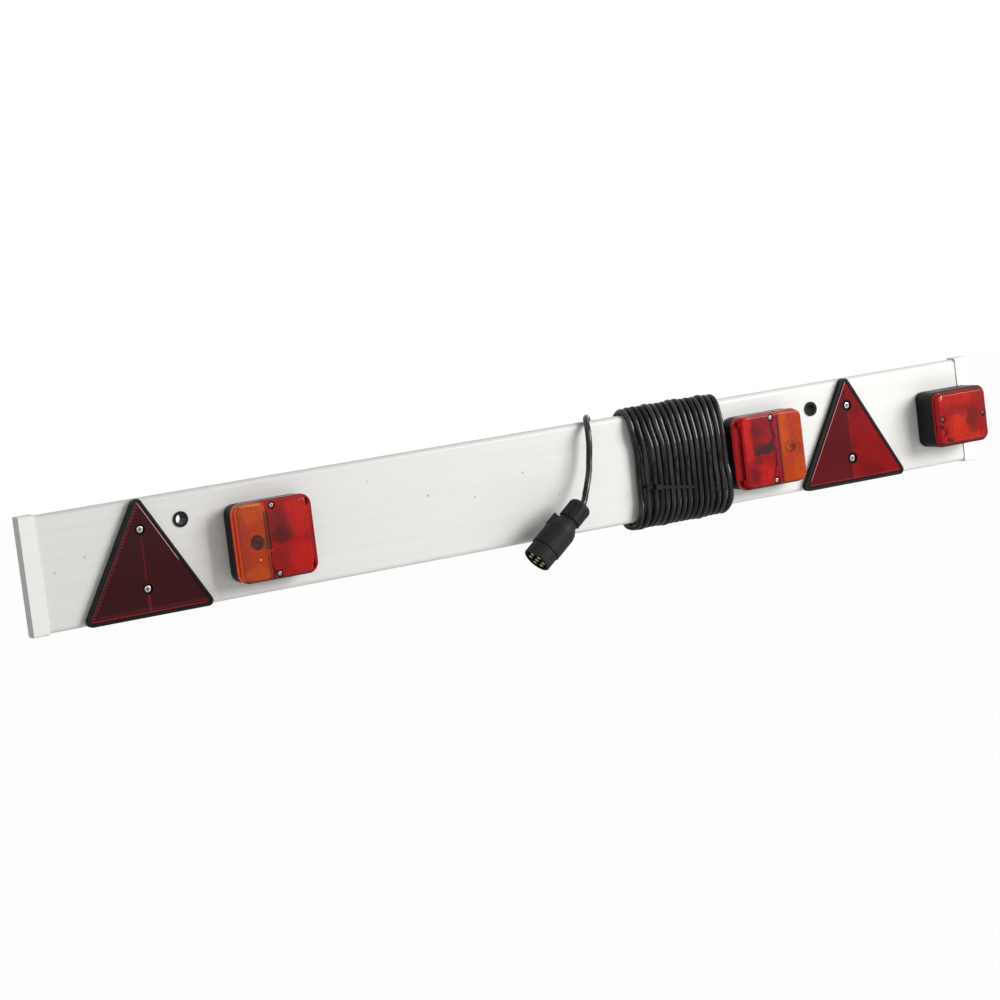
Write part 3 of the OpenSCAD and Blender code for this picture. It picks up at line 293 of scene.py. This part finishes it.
def swell(value, low, high, edge):
    """1 between low and high, easing to 0 over the edge outside them."""
    near = min((value - low) / edge + 1, (high - value) / edge + 1)
    near = max(0.0, min(1.0, near))
    return near * near * (3 - 2 * near)


def plug_axes():
    turn = Matrix.Rotation(math.radians(PLUG_TURN), 3, "Z") @ Matrix.Rotation(math.radians(PLUG_TIP), 3, "Y")
    return turn @ Matrix.Rotation(math.radians(PLUG_ROLL), 3, "Z")


def tuck_in(turn, z):
    """The share of its reach by which the front of one of the last turns lies closer to the plank."""
    late = turn - (TURNS - 2)
    return TUCK[min(late, 1)] * swell(z, -75, -15, 45) if late >= 0 else 0.0


def on_loop(line, lengths, at):
    """Y and Z of the place on the turn's outline at this distance along it."""
    j = max(n for n, length in enumerate(lengths) if length <= at)
    t = (at - lengths[j]) / (lengths[min(j + 1, len(line) - 1)] - lengths[j] or 1)
    y0, z0 = line[j]
    y1, z1 = line[(j + 1) % len(line)]
    return y0 + (y1 - y0) * t, z0 + (z1 - z0) * t


def cable_route():
    """Centreline of the whole cable in mm: out of the plank's back, round it, and down to the plug."""
    chance = random.Random(4)
    line = loop_outline()
    lengths = loop_lengths(line)
    around = lengths[-1]
    low = LOOP_BOTTOM + LOOP_R
    start = LEAD_AT[2] + LEAD[-1][2] - low + FREE_RUN
    stop = TURNS * around + TAIL_AT[2] + TAIL[0][2] - low - FREE_RUN
    route = [Vector(p) + Vector(LEAD_AT) for p in LEAD[:-1]]
    wander = [chance.uniform(-0.25, 0.25) for _ in range(TURNS * WANDERS + 8)]
    lift = [chance.uniform(-0.9, 0.9) for _ in range(TURNS * 2 + 4)]
    proud = [(1 - 2 * (n % 2)) * chance.uniform(0.1, 0.9) for n in range(TURNS + 2)]
    steps = int((stop - start) / ROUTE_STEP)
    first, last = WINDING_RIGHT - CABLE_D / 2, WINDING_LEFT + CABLE_D / 2
    for i in range(steps + 1):
        share = i / steps
        run = start + (stop - start) * i / steps
        turn = int(run / around)
        y, z = on_loop(line, lengths, run % around)
        place = share * TURNS * WANDERS
        k = int(place)
        ease = (place - k) ** 2 * (3 - 2 * (place - k))
        fade = min(1, 12 * share, 12 * (1 - share))
        off = (wander[k] * (1 - ease) + wander[k + 1] * ease) * fade
        if y < LOOP_Y:
            y -= (y - LOOP_Y) * tuck_in(turn, z)
            y += proud[turn] * swell(z, -25, 5, 25)
            off += FRONT_LEAN * share * (0.3 * swell(z, -200, 20, 18) + 0.7 * swell(z, -75, -20, 40))
            loose = max(0, LOOSE_TURNS - turn) * swell(z, -90, -70, 25)
            off += LOOSE_RIGHT * loose
            y -= LOOSE_OUT * loose
        above = z - BOARD_TOP + RISE_DEPTH
        if above > 0:
            z += (TOP_RISE + lift[2 * turn]) * fade * above / (LOOP_TOP - BOARD_TOP + RISE_DEPTH)
        if z < low:
            z -= (BOTTOM_HANG + lift[2 * turn + 1] * fade) * (low - z) / LOOP_R
        route.append(Vector((first + (last - first) * share + off, y, z)))
    route += [Vector(p) + Vector(TAIL_AT) for p in TAIL]
    axis = plug_axes() @ Vector((0, 0, 1))
    at = Vector(TAIL_AT) + Vector(PLUG_OFF)
    route += [at - 3 * axis, at + PLUG_ENTRY * axis]
    return route


def smooth_route(points, step):
    """Points every step mm along a Catmull-Rom curve through the route."""
    out = []
    ends = [2 * points[0] - points[1], *points, 2 * points[-1] - points[-2]]
    for a, b, c, d in zip(ends, ends[1:], ends[2:], ends[3:]):
        count = max(1, round((c - b).length / step))
        for i in range(count):
            t = i / count
            out.append(0.5 * (2 * b + t * (c - a) + t * t * (2 * a - 5 * b + 4 * c - d)
                              + t ** 3 * (3 * b - a - 3 * c + d)))
    out.append(points[-1])
    return out


def add_curve(name, points, radius, resolution):
    """A round cord through the points."""
    data = bpy.data.curves.new(name, "CURVE")
    data.dimensions = "3D"
    data.bevel_depth = radius
    data.bevel_resolution = resolution
    data.use_fill_caps = True
    spline = data.splines.new("POLY")
    spline.points.add(len(points) - 1)
    for place, p in zip(spline.points, points):
        place.co = (*p, 1)
    piece = bpy.data.objects.new(name, data)
    bpy.context.scene.collection.objects.link(piece)
    return piece


route = smooth_route(cable_route(), 4.5)
cable_length = sum((b - a).length for a, b in zip(route, route[1:])) * MM
print("cable length", round(cable_length, 3), "points", len(route))
cable = add_curve("supply_cable", [p * MM for p in route], CABLE_D / 2 * MM, 4)
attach(cable, "root")
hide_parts("cable_lead", "cable_winding", "cable_tail")
route[0] * MM

# Finishes


def white_plastic(name, colour, specks=()):
    """Extruded white plastic: faint bands along the plank, a few grey specks."""
    f = Finish(name, Roughness=0.38, IOR=1.5, Specular_IOR_Level=0.35)
    bands = f.noise(1.0, 3, 0.6, (1.6, 60, 60))
    fine = f.noise(1.0, 2, 0.5, (3.0, 220, 220))
    clouds = f.noise(7.0, 3)
    shade = f.mix(f.smooth(bands, 0.38, 0.66) * 0.55, colour, darker(colour, 0.94))
    shade = f.mix(f.smooth(fine, 0.4, 0.7) * 0.3, shade, darker(colour, 0.95))
    shade = f.mix(f.smooth(clouds, 0.45, 0.75) * 0.3, shade, darker(colour, 0.95))
    for at, radius in specks:
        shade = f.mix(f.mark(at, (radius, radius), soft=0.6) * 0.55, shade, rgb(128, 124, 116))
    f.feed("Base Color", shade)
    f.feed("Roughness", f.noise(30.0, 4) * 0.16 + 0.30)
    f.bump(bands * 0.6 + fine * 0.3 + f.noise(260.0, 3) * 0.1, 0.0004, 0.3)
    return f.material


def black_plastic(name, colour, rough, grain=900.0):
    f = Finish(name, Roughness=rough, IOR=1.5, Specular_IOR_Level=0.14)
    f.feed("Base Color", f.mix(f.smooth(f.noise(14.0, 4), 0.4, 0.75), colour, darker(colour, 1.5)))
    f.feed("Roughness", f.noise(40.0, 3) * 0.2 + (rough - 0.1))
    f.bump(f.noise(grain, 2), 0.0002, 0.3)
    return f.material


def lens_acrylic(name, colour, at, marks, edge, cloud=0.25):
    """Clear dyed plastic. What is seen through it, the bulb, its holder and the wall behind, is soft marks in it; a
    few marks are painted highlights, and dark ovals at the screws are painted shade in the screw wells. The side
    walls that face the
    directions of edge are painted dark: painted shade. The left walls get a painted glow, standing in for light from
    the right through the plastic."""
    f = Finish(name, Roughness=0.1, IOR=1.49, Specular_IOR_Level=0.16, Transmission_Weight=0.1, Emission_Strength=1.0)
    f.centre(at)
    tone = f.mix(f.smooth(f.noise(55.0, 2, 0.45), 0.35, 0.68) * cloud, colour, darker(colour, 0.72))
    for place, size, seen, share, lean, soft, power in marks:
        tone = f.mix(f.mark(place, size, lean, soft, power) * share, tone, seen)
    for stretch in ((420, 0, 50), (60, 0, 380)):
        tone = f.mix(f.smooth(f.noise(1.0, 2, 0.5, stretch), 0.4, 0.66) * 0.2, tone, darker(colour, 0.5))
    # painted shade: side walls facing these directions are darkened
    for direction in edge:
        tone = f.mix(f.smooth(f.facing(direction), 0.3, 0.75) * 0.85, tone, darker(colour, 0.08))
    f.feed("Base Color", tone)
    # painted glow: left-facing walls emit a little of the lens colour, standing in for light through the plastic
    f.feed("Emission Color", f.mix(f.smooth(f.facing((-1, 0, 0)), 0.3, 0.9), (0, 0, 0, 1), darker(colour, 0.6)))
    f.bump(f.noise(90.0, 2), 0.0003, 0.2)
    return f


def oval(u, w, ru, rw, colour, share=0.8, lean=0, soft=0.92):
    """A soft oval in a lens: its middle and half sizes in mm, its colour, how strong it is and its lean."""
    return ((u, w), (ru, rw), rgb(*colour), share, lean, soft, 2)


def bar(u, w, ru, rw, colour, share=0.8, lean=0, soft=0.4):
    """The same with nearly square ends."""
    return ((u, w), (ru, rw), rgb(*colour), share, lean, soft, 6)


def lens_rings(f, tone, rings):
    """Rings in a lens: middle, radius and half width in mm, colour and strength."""
    for place, radius, width, colour, share in rings:
        off = f.field.math("ABSOLUTE", f.away(place) - radius)
        tone = f.mix((1 - f.smooth(off, width * 0.4, width * 1.6)) * share, tone, rgb(*colour))
    return tone


def metal(name, colour, rough, scale=300.0):
    f = Finish(name, Metallic=1.0, Roughness=rough)
    f.feed("Base Color", f.mix(f.noise(60.0, 3), colour, darker(colour, 0.82)))
    f.feed("Roughness", f.noise(scale, 3) * 0.2 + (rough - 0.08))
    f.bump(f.noise(scale * 2, 2), 0.0001, 0.2)
    return f.material


def small_screws(name, places, colour, ring):
    """Bright pan heads: a dark cross in each, and darker outside the radius of ring: painted shade of the head's rim
    and well.
    """
    f = Finish(name, Metallic=1.0, Roughness=0.16)
    tone = f.mix(f.noise(60.0, 3), colour, darker(colour, 0.65))
    for place in places:
        for lean in (20, 110):
            tone = f.mix(f.mark(place, (0.6, 2.2), lean, 0.3, 4) * 0.85, tone, rgb(40, 40, 42))
        # painted shade: the head darkened outside ring
        well_shade = f.smooth(f.away(place), ring, ring + 1) * (1 - f.smooth(f.away(place), 6, 7))
        tone = f.mix(well_shade, tone, darker(colour, 0.08))
    f.feed("Base Color", tone)
    f.feed("Roughness", f.noise(300.0, 3) * 0.2 + 0.08)
    return f.material


# A reflector's middle lies on its heights, this far from each side of the red lens
LENS_REACH = 45.6
SIDE_COS, SIDE_SIN = math.cos(math.radians(30)), 0.5


def reflector_acrylic(name, at, left, right, lines, dotted, well_shade_radius):
    """Red prism plate. The cubes behind each half send light another way, so the halves differ."""
    f = Finish(name, Roughness=0.09, IOR=1.49, Specular_IOR_Level=0.15)
    f.centre(at)
    rows = f.field.node("TexVoronoi", {"feature": "DISTANCE_TO_EDGE"}, Vector=f.place, Scale=330.0, Randomness=0.0,
                        out=0)
    halves = f.smooth(f.along((1, 0)), -1.2, -0.2)
    tone = f.mix(halves, left, right)
    tone = f.mix(f.smooth(f.noise(26.0, 4, 0.6), 0.35, 0.7) * 0.55, tone, darker(left, 0.72))
    tone = f.mix((1 - f.smooth(rows, 0.02, 0.2)) * 0.3, tone, darker(left, 0.6))
    sides = {"left": (SIDE_COS, -SIDE_SIN), "right": (-SIDE_COS, -SIDE_SIN), "bottom": (0, 1)}
    for side, depth, width, low, high, colour, share in lines:
        off = f.field.math("ABSOLUTE", f.along(sides[side]) + (LENS_REACH - depth))
        reach = f.along((-sides[side][1], sides[side][0]))
        here = f.smooth(reach, low - 8, low) * (1 - f.smooth(reach, high, high + 8))
        tone = f.mix((1 - f.smooth(off, width * 0.5, width * 1.2)) * here * share, tone, rgb(*colour))
    # The two dark ovals at the screws are painted shade in the screw wells.
    for place, size, seen, share, lean, soft, power in [
            bar(0, 20, 1.1, 27, (130, 22, 30), 0.4, 0, 0.35), bar(0, -32, 2, 10, (140, 28, 38), 0.45, 0, 0.35),
            *[oval(0, w, well_shade_radius, well_shade_radius, (16, 10, 11), 0.9, 0, 0.3) for w in (-15.9, 55.1)]]:
        tone = f.mix(f.mark(place, size, lean, soft, power) * share, tone, seen)
    if dotted:
        off = f.field.math("ABSOLUTE", f.along(sides["left"]) + (LENS_REACH - 4.2))
        step = f.field.math("PINGPONG", f.along((SIDE_SIN, SIDE_COS)), 2.1)
        beads = (1 - f.smooth(off, 0.35, 1.0)) * f.smooth(step, 0.9, 1.4)
        tone = f.mix(beads * 0.7, tone, rgb(184, 46, 50))
    f.feed("Base Color", tone)
    f.bump(rows, 0.0004, 0.2)
    return f.material


def sheath(name):
    """Black cable: matt below a gloss that draws the lights as thin lines."""
    f = Finish(name, Roughness=0.45, IOR=1.5, Specular_IOR_Level=0.06, Coat_Weight=0.7, Coat_Roughness=0.03)
    scuffs = f.noise(150.0, 4, 0.6)
    f.feed("Base Color", f.mix(f.smooth(scuffs, 0.5, 0.85) * 0.5, rgb(19, 19, 19), rgb(36, 35, 34)))
    f.feed("Coat Weight", f.smooth(f.noise(1.0, 2, 0.5, (110, 0, 9)), 0.36, 0.62) * 0.6 + 0.25)
    return f.material


def bulb_glass(name, colour, weight):
    f = Finish(name, Roughness=0.05, IOR=1.5, Transmission_Weight=weight)
    f.feed("Base Color", f.mix(f.noise(50.0, 2), colour, darker(colour, 0.85)))
    return f.material


# Lens side walls facing these ways are painted dark: painted shade
LENS_SHADED_SIDES = [(0.83, 0, -0.55), (0, 0, -1)]
# Painted shade: dark ovals in the lenses round the screw heads, where the screw wells lie in shade
SCREW_WELL_SHADE = [[oval(u, w, 5.1, 5.1, (22, 10, 10), 0.95, 0, 0.25) for w in (-LENS_SCREW_W, LENS_SCREW_W)]
               for u in (-2.6, 2.6)]

# Lenses, with what is seen in each. Places are in mm from the lamp's middle.


def amber_left():
    return lens_acrylic("amber_acrylic_left", rgb(190, 63, 30), (LAMP_X[0], LAMP_Z), [
        oval(-28, 37, 21, 13, (202, 86, 34), 0.75),
        oval(-46, 0, 8, 46, (160, 58, 44), 0.6),
        oval(-20, 24, 6, 10, (150, 74, 34), 0.4),
        oval(-30, -38, 17, 10, (198, 88, 34), 0.7),
        # painted highlight along the top edge of the lens face
        bar(-32, 45.4, 15, 1.5, (232, 146, 92), 0.75, -2),
        oval(-17, -2, 6, 7, (86, 54, 36), 0.7),
        oval(-27, 0, 9.6, 9.6, (60, 46, 36), 0.95, 0, 0.2),
        oval(-27, 0, 6.4, 6.4, (44, 36, 38), 0.7, 0, 0.3),
        oval(-28, 1, 4.2, 4.2, (80, 48, 76), 0.7, 0, 0.5),
        oval(-27.4, 0.6, 1.5, 1.5, (26, 18, 30), 0.9, 0, 0.4),
        bar(-14.2, 12, 1.5, 24, (66, 46, 28), 0.8), bar(-14.4, -30, 1.3, 16, (104, 38, 34), 0.7),
        oval(-25.5, -21, 1.1, 1.3, (252, 190, 130), 0.9, 20, 0.4)], LENS_SHADED_SIDES)


def red_left():
    return lens_acrylic("red_acrylic_left", rgb(174, 26, 26), (LAMP_X[0], LAMP_Z), [
        *SCREW_WELL_SHADE[0],
        oval(29, 24, 20, 22, (206, 38, 32), 0.9),
        oval(30, -24, 17, 18, (202, 36, 30), 0.9),
        oval(6, 18, 13, 18, (108, 34, 38), 0.85, 15),
        oval(5, 4, 15, 8, (80, 28, 32), 0.8),
        oval(3, -24, 10, 18, (134, 34, 38), 0.65),
        bar(-10.8, 12, 2.0, 24, (52, 38, 22), 0.95, 0, 0.4),
        bar(-11, -30, 1.5, 16, (52, 16, 20), 0.9, 0, 0.5),
        bar(-12.4, 0, 0.5, 48, (180, 76, 80), 0.4, 0, 0.4),
        oval(-11.4, -13, 2.8, 1.1, (186, 90, 100), 0.7, 0, 0.6),
        bar(0, 45.5, 50, 0.9, (130, 20, 30), 0.5), bar(0, -47.2, 50, 0.9, (60, 14, 18), 0.7),
        oval(24, 15, 3, 1.2, (110, 24, 28), 0.7, 20),
        oval(26, -0.5, 1.6, 2, (104, 24, 28), 0.8),
        oval(39, 1, 2.4, 6, (128, 34, 34), 0.7),
        oval(43, -14, 1.6, 8, (140, 50, 30), 0.6), oval(42, 12, 1.6, 10, (150, 40, 34), 0.5),
        # painted highlight near the top right corner
        oval(36, 41, 1.2, 0.9, (240, 120, 110), 0.7),
        bar(46.5, 38, 2.2, 4, (40, 10, 12), 0.85, -20), bar(46.5, -36, 2.2, 5, (44, 12, 14), 0.85, 20),
        bar(50.6, 0, 0.9, 38, (90, 22, 28), 0.6)], LENS_SHADED_SIDES)


def red_right():
    return lens_acrylic("red_acrylic_right", rgb(158, 26, 30), (LAMP_X[1], LAMP_Z), [
        *SCREW_WELL_SHADE[1],
        oval(-38, 24, 8, 24, (212, 38, 32), 0.95),
        oval(-34, -4, 7, 15, (200, 36, 34), 0.75),
        oval(-14, -29, 16, 14, (196, 36, 34), 0.9),
        oval(-24, 27, 10, 10, (94, 26, 34), 0.85),
        oval(-8, 34, 15, 12, (138, 34, 38), 0.75),
        oval(-4, 18, 9, 10, (150, 36, 40), 0.7),
        oval(-31, -30, 9, 11, (108, 30, 36), 0.85),
        oval(-24, -12, 10, 4, (104, 32, 38), 0.75, -10),
        bar(1.5, 26, 2.2, 12, (52, 32, 34), 0.85, 6, 0.8), oval(2, 11, 3, 9, (52, 34, 36), 0.85, -20),
        bar(-15, 1.5, 17, 6, (46, 42, 44), 0.95, 6, 0.85), oval(-20, 8, 7, 5, (56, 40, 42), 0.8),
        bar(5.4, -11, 2.2, 12, (58, 30, 22), 0.9, -6),
        bar(1, -28, 1.4, 10, (84, 28, 30), 0.75, -18),
        bar(-6, -14, 0.8, 15, (196, 60, 72), 0.5, -24), bar(-9, -20, 0.7, 12, (110, 26, 34), 0.6, -24),
        bar(8.3, 12, 2.4, 44, (156, 34, 56), 0.8),
        bar(12, 0, 1.7, 47, (72, 30, 18), 0.9),
        bar(-42.4, 20, 0.8, 24, (120, 20, 24), 0.6),
        oval(-55, 42, 5, 5, (58, 10, 14), 0.75), oval(-49, 37, 3, 4, (48, 14, 16), 0.6),
        oval(-50, -36, 3, 3, (48, 20, 14), 0.85), oval(-57, -38, 5, 4, (104, 20, 40), 0.6),
        # the first bar is a painted highlight along the top edge
        bar(-16, 46.4, 30, 0.9, (206, 96, 110), 0.5), bar(0, -47.2, 50, 0.9, (60, 14, 18), 0.7)], LENS_SHADED_SIDES)


def amber_right():
    return lens_acrylic("amber_acrylic_right", rgb(188, 66, 28), (LAMP_X[1], LAMP_Z), [
        oval(19, 20, 8, 30, (210, 86, 34), 0.8),
        oval(31, 30, 8, 14, (176, 60, 44), 0.7),
        oval(38, -30, 10, 16, (202, 80, 32), 0.8),
        oval(24, -18, 10, 12, (184, 62, 42), 0.7),
        bar(14, 0, 1.1, 46, (140, 60, 34), 0.7),
        oval(31.5, 1, 3.8, 5.6, (70, 40, 34), 0.8, 0, 0.7),
        oval(27, 4, 4.4, 3.2, (96, 48, 36), 0.7, -30),
        oval(27, -3, 2.4, 2, (150, 70, 44), 0.6),
        oval(40.5, 0, 3.6, 10, (122, 60, 46), 0.7),
        oval(39, -20, 3.4, 12, (160, 70, 44), 0.5),
        bar(50.6, 0, 0.9, 38, (110, 44, 30), 0.5)], LENS_SHADED_SIDES)


def fog_red():
    return lens_acrylic("fog_acrylic", rgb(172, 26, 26), (FOG_X, FOG_Z), [
        # painted shade in the fog lens's screw wells
        *[oval(u, 0, 5, 5, (16, 12, 10), 0.95, 0, 0.25) for u in (-FOG_SCREW_U, FOG_SCREW_U)],
        oval(-8, 26, 36, 11, (198, 40, 32), 0.85),
        oval(-8, -8, 17, 15, (208, 54, 32), 0.95),
        oval(6, -27, 28, 9, (206, 50, 32), 0.9, -6),
        oval(-12, 10, 26, 5, (150, 36, 34), 0.7, 4),
        bar(14, -1, 9, 12, (96, 36, 36), 0.8, -14, 0.9),
        oval(12, -17, 8, 6, (124, 46, 32), 0.7),
        bar(28, 14, 3.4, 20, (116, 48, 36), 0.6, 0, 0.9), bar(25, -16, 2, 13, (112, 42, 34), 0.6, 0, 0.9),
        bar(19.5, 12, 1.2, 22, (120, 36, 34), 0.5, 0, 0.9),
        bar(-40, 4, 3.4, 30, (160, 44, 54), 0.6, 0, 0.9), bar(37, -2, 2.6, 30, (148, 40, 52), 0.7, 0, 0.9),
        oval(-39, -11, 3.6, 5, (48, 14, 16), 0.9, 20, 0.7), oval(-32, -18, 3.2, 5, (54, 16, 18), 0.85, -10, 0.7),
        oval(-27.5, -26, 3, 5.4, (44, 12, 14), 0.9, 18, 0.7), oval(-22, -30, 3.4, 4, (60, 18, 18), 0.8, 0, 0.7),
        oval(-30, -25, 1, 6, (210, 90, 90), 0.5, 8, 0.8),
        # painted highlight streak near the top left
        oval(-33, 30, 1.2, 4.6, (248, 166, 150), 0.8, -24, 0.5),
        bar(0, 36.3, 42, 1.0, (44, 10, 12), 0.8), bar(0, -36.3, 42, 1.1, (48, 12, 14), 0.8),
        bar(-42.8, 0, 1.1, 34, (62, 16, 22), 0.75), bar(42.8, 0, 1.0, 32, (96, 36, 38), 0.7)],
        # painted shade on the fog lens's side walls facing all four ways
        [(1, 0, 0), (-1, 0, 0), (0, 0, 1), (0, 0, -1)], 0.15)


def fluted(f, tone, pitch):
    """Upright ribs inside the fog lens, seen as fine light and dark lines."""
    wave = f.smooth(f.field.math("PINGPONG", f.along((1, 0)), pitch / 2), 0.1 * pitch, 0.42 * pitch)
    wander = f.smooth(f.noise(90.0, 1, 0.5, (1, 1, 0.08)), 0.35, 0.65)
    return f.mix(wave * (wander * 0.35 + 0.1), tone, rgb(120, 26, 26)), wave


def step_dark_band(f, tone, left, right, near, far, low, high, colour):
    """A long narrow dark band painted on a lens step, between these places in mm along X, Y and Z."""
    inside = 1.0
    for axis, first, last in ((0, left, right), (1, near, far), (2, low, high)):
        place = f.axes()[axis] / MM
        inside = inside * f.smooth(place, first - 0.3, first + 0.3) * (1 - f.smooth(place, last - 0.3, last + 0.3))
    return f.mix(inside * 0.95, tone, rgb(*colour))


def finish_lens(f, rings=(), ribs=0.0, step_bands=()):
    socket = f.shader.inputs["Base Color"]
    tone = Field(f.tree, socket.links[0].from_socket)
    tone = lens_rings(f, tone, rings)
    for step_band in step_bands:
        tone = step_dark_band(f, tone, *step_band)
    if ribs:
        tone, wave = fluted(f, tone, ribs)
        f.bump(wave, 0.0006, 0.35)
    f.feed("Base Color", tone)
    return f.material


SPECKS = [((-578.9, -24.5), 1.5), ((-617.8, -36.8), 1.1), ((-562.2, -80.3), 1.3), ((-575.6, -89.8), 1.2),
          ((11.2, -16.6), 1.5), ((-125, -24), 1.6), ((-60, -36), 1.2), ((60, -52), 1.0), ((-205, 6), 1.0)]

looks = {
    "white_plastic": white_plastic("white_pvc", rgb(234, 233, 229), SPECKS),
    "black_plastic": black_plastic("black_abs", rgb(15, 17, 17), 0.42),
    "screw_chrome": metal("bright_zinc", rgb(232, 232, 232), 0.16),
    "black_rubber": black_plastic("black_rubber", rgb(14, 14, 15), 0.7, 500.0),
    "carrier_bright": metal("tinned_sheet", rgb(222, 223, 224), 0.3),
    "holder_metal": metal("plated_holder", rgb(150, 148, 142), 0.35),
    "bulb_amber": bulb_glass("amber_bulb", rgb(214, 110, 30), 0.4),
    "bulb_clear": bulb_glass("clear_bulb", rgb(226, 230, 230), 0.8),
    "cable_sheath": sheath("cable_pvc"),
    "plug_plastic": black_plastic("plug_plastic", rgb(31, 32, 33), 0.5, 420.0),
    "pin_brass": metal("brass", rgb(226, 200, 150), 0.2),
}
own_looks = {
    "end_cap_left": white_plastic("cap_white", rgb(253, 252, 248)),
    "amber_lens_left": finish_lens(amber_left(), [((-27, 0), 10.2, 0.5, (196, 92, 58), 0.5)]),
    "red_lens_left": finish_lens(red_left()),
    "red_lens_right": finish_lens(red_right(), step_bands=[
        (312, 322, -48.9, -45, LAMP_Z + 11, LAMP_Z + 37, (14, 9, 10)),
        (312, 322, -48.6, -45.4, LAMP_Z - 37, LAMP_Z + 11, (56, 38, 22))]),
    "amber_lens_right": finish_lens(amber_right(), [((28.5, 1), 7.4, 0.55, (96, 38, 28), 0.85)]),
    "fog_lens": finish_lens(fog_red(), (), 3.0),
    "reflector_lens_left": reflector_acrylic(
        "reflector_acrylic_left", (REFLECTOR_X[0], REFLECTOR_Z), rgb(60, 18, 22), rgb(62, 17, 21), [
            ("right", 1.9, 0.7, -80, 6, (196, 156, 158), 0.8), ("left", 1.4, 0.6, -80, 80, (128, 84, 88), 0.6),
            ("bottom", 2.2, 0.7, -68, 70, (150, 44, 50), 0.7), ("bottom", 5.6, 2.4, -80, 60, (112, 30, 34), 0.3)],
        True, 6.4),
    "reflector_lens_right": reflector_acrylic(
        "reflector_acrylic_right", (REFLECTOR_X[1], REFLECTOR_Z), rgb(94, 22, 26), rgb(142, 20, 24), [
            ("left", 1.2, 2.4, -80, 80, (46, 14, 18), 0.85), ("bottom", 0.9, 2.0, -80, 80, (50, 14, 18), 0.7),
            ("left", 3.4, 0.5, -62, 74, (216, 140, 144), 0.85), ("bottom", 3.2, 0.8, -70, 70, (120, 56, 64), 0.6),
            ("right", 0.8, 0.5, -70, 70, (110, 50, 60), 0.6)],
        False, 7.8),
}
own_looks["end_cap_right"] = own_looks["end_cap_left"]
own_looks["reflector_screws"] = small_screws(
    "reflector_screw", [(x, z) for x in REFLECTOR_X for z in REFLECTOR_SCREW_Z], rgb(214, 214, 214), 3.4)
for side in range(2):
    own_looks["lens_screws_" + ("left", "right")[side]] = metal("lens_screw", rgb(168, 168, 166), 0.2)
own_looks["fog_lens_screws"] = small_screws(
    "fog_screw", [(FOG_X + u, FOG_Z) for u in (-FOG_SCREW_U, FOG_SCREW_U)], rgb(196, 196, 178), 1.4)

for entry in frame["record"]["subparts"]:
    wear(nodes[entry["node"]], own_looks.get(entry["node"]) or looks[entry["material_slot"]])
wear(cable, looks["cable_sheath"])

# Floor, backdrop and light


def add_floor():
    """A white floor well below the hung object. The camera sees it almost white, with the object's soft shadow."""
    data = bpy.data.meshes.new("floor")
    data.from_pydata([(-8, -6, 0), (8, -6, 0), (8, 8, 0), (-8, 8, 0)], [], [(0, 1, 2, 3)])
    floor = bpy.data.objects.new("floor", data)
    floor.location.z = -0.75
    bpy.context.scene.collection.objects.link(floor)
    f = Finish("floor_white", Roughness=0.9)
    f.feed("Base Color", f.mix(f.noise(3.0, 2) * 0.1, rgb(250, 250, 250), rgb(246, 246, 246)))
    glow = f.field.node("Emission", Color=(1, 1, 1, 1), Strength=1.0)
    seen = f.field.node("LightPath", out="Is Camera Ray") * 0.975
    surface = f.field.node("MixShader", _0=seen, _1=Field(f.tree, f.shader.outputs[0]), _2=glow)
    f.tree.links.new(surface.output, f.tree.nodes["Material Output"].inputs["Surface"])
    wear(floor, f.material)


def add_lamp(name, at, aim, size, power):
    data = bpy.data.lights.new(name, "AREA")
    data.shape = "RECTANGLE"
    data.size, data.size_y = size
    data.energy = power
    lamp = bpy.data.objects.new(name, data)
    lamp.location = at
    lamp.rotation_mode = "QUATERNION"
    lamp.rotation_quaternion = (Vector(aim) - Vector(at)).to_track_quat("-Z", "Y")
    bpy.context.scene.collection.objects.link(lamp)


def add_world():
    world = bpy.data.worlds.new("studio")
    bpy.context.scene.world = world
    world.use_nodes = True
    tree = world.node_tree
    field = Field(tree)
    ray = field.node("LightPath", out="Is Camera Ray")
    glossy = field.node("LightPath", out="Is Glossy Ray")
    clear = field.node("LightPath", out="Is Transmission Ray")
    seen = field.math("MAXIMUM", ray, field.math("MAXIMUM", glossy, clear))
    strength = seen * 0.81 + 0.19
    background = tree.nodes["Background"]
    background.inputs["Color"].default_value = (1, 1, 1, 1)
    tree.links.new(strength.output, background.inputs["Strength"])


add_floor()
add_world()
add_lamp("key", (3.2, -3.0, 1.3), (0.1, 0, 0), (2.4, 2.0), 165)
add_lamp("strip", (1.5, -2.3, 1.02), (0.2, 0, -0.03), (0.12, 2.3), 12)
add_lamp("fill", (-2.6, -3.4, 1.4), (0, 0, 0), (2.2, 2.2), 10)
bpy.context.scene.view_settings.view_transform = "Standard"
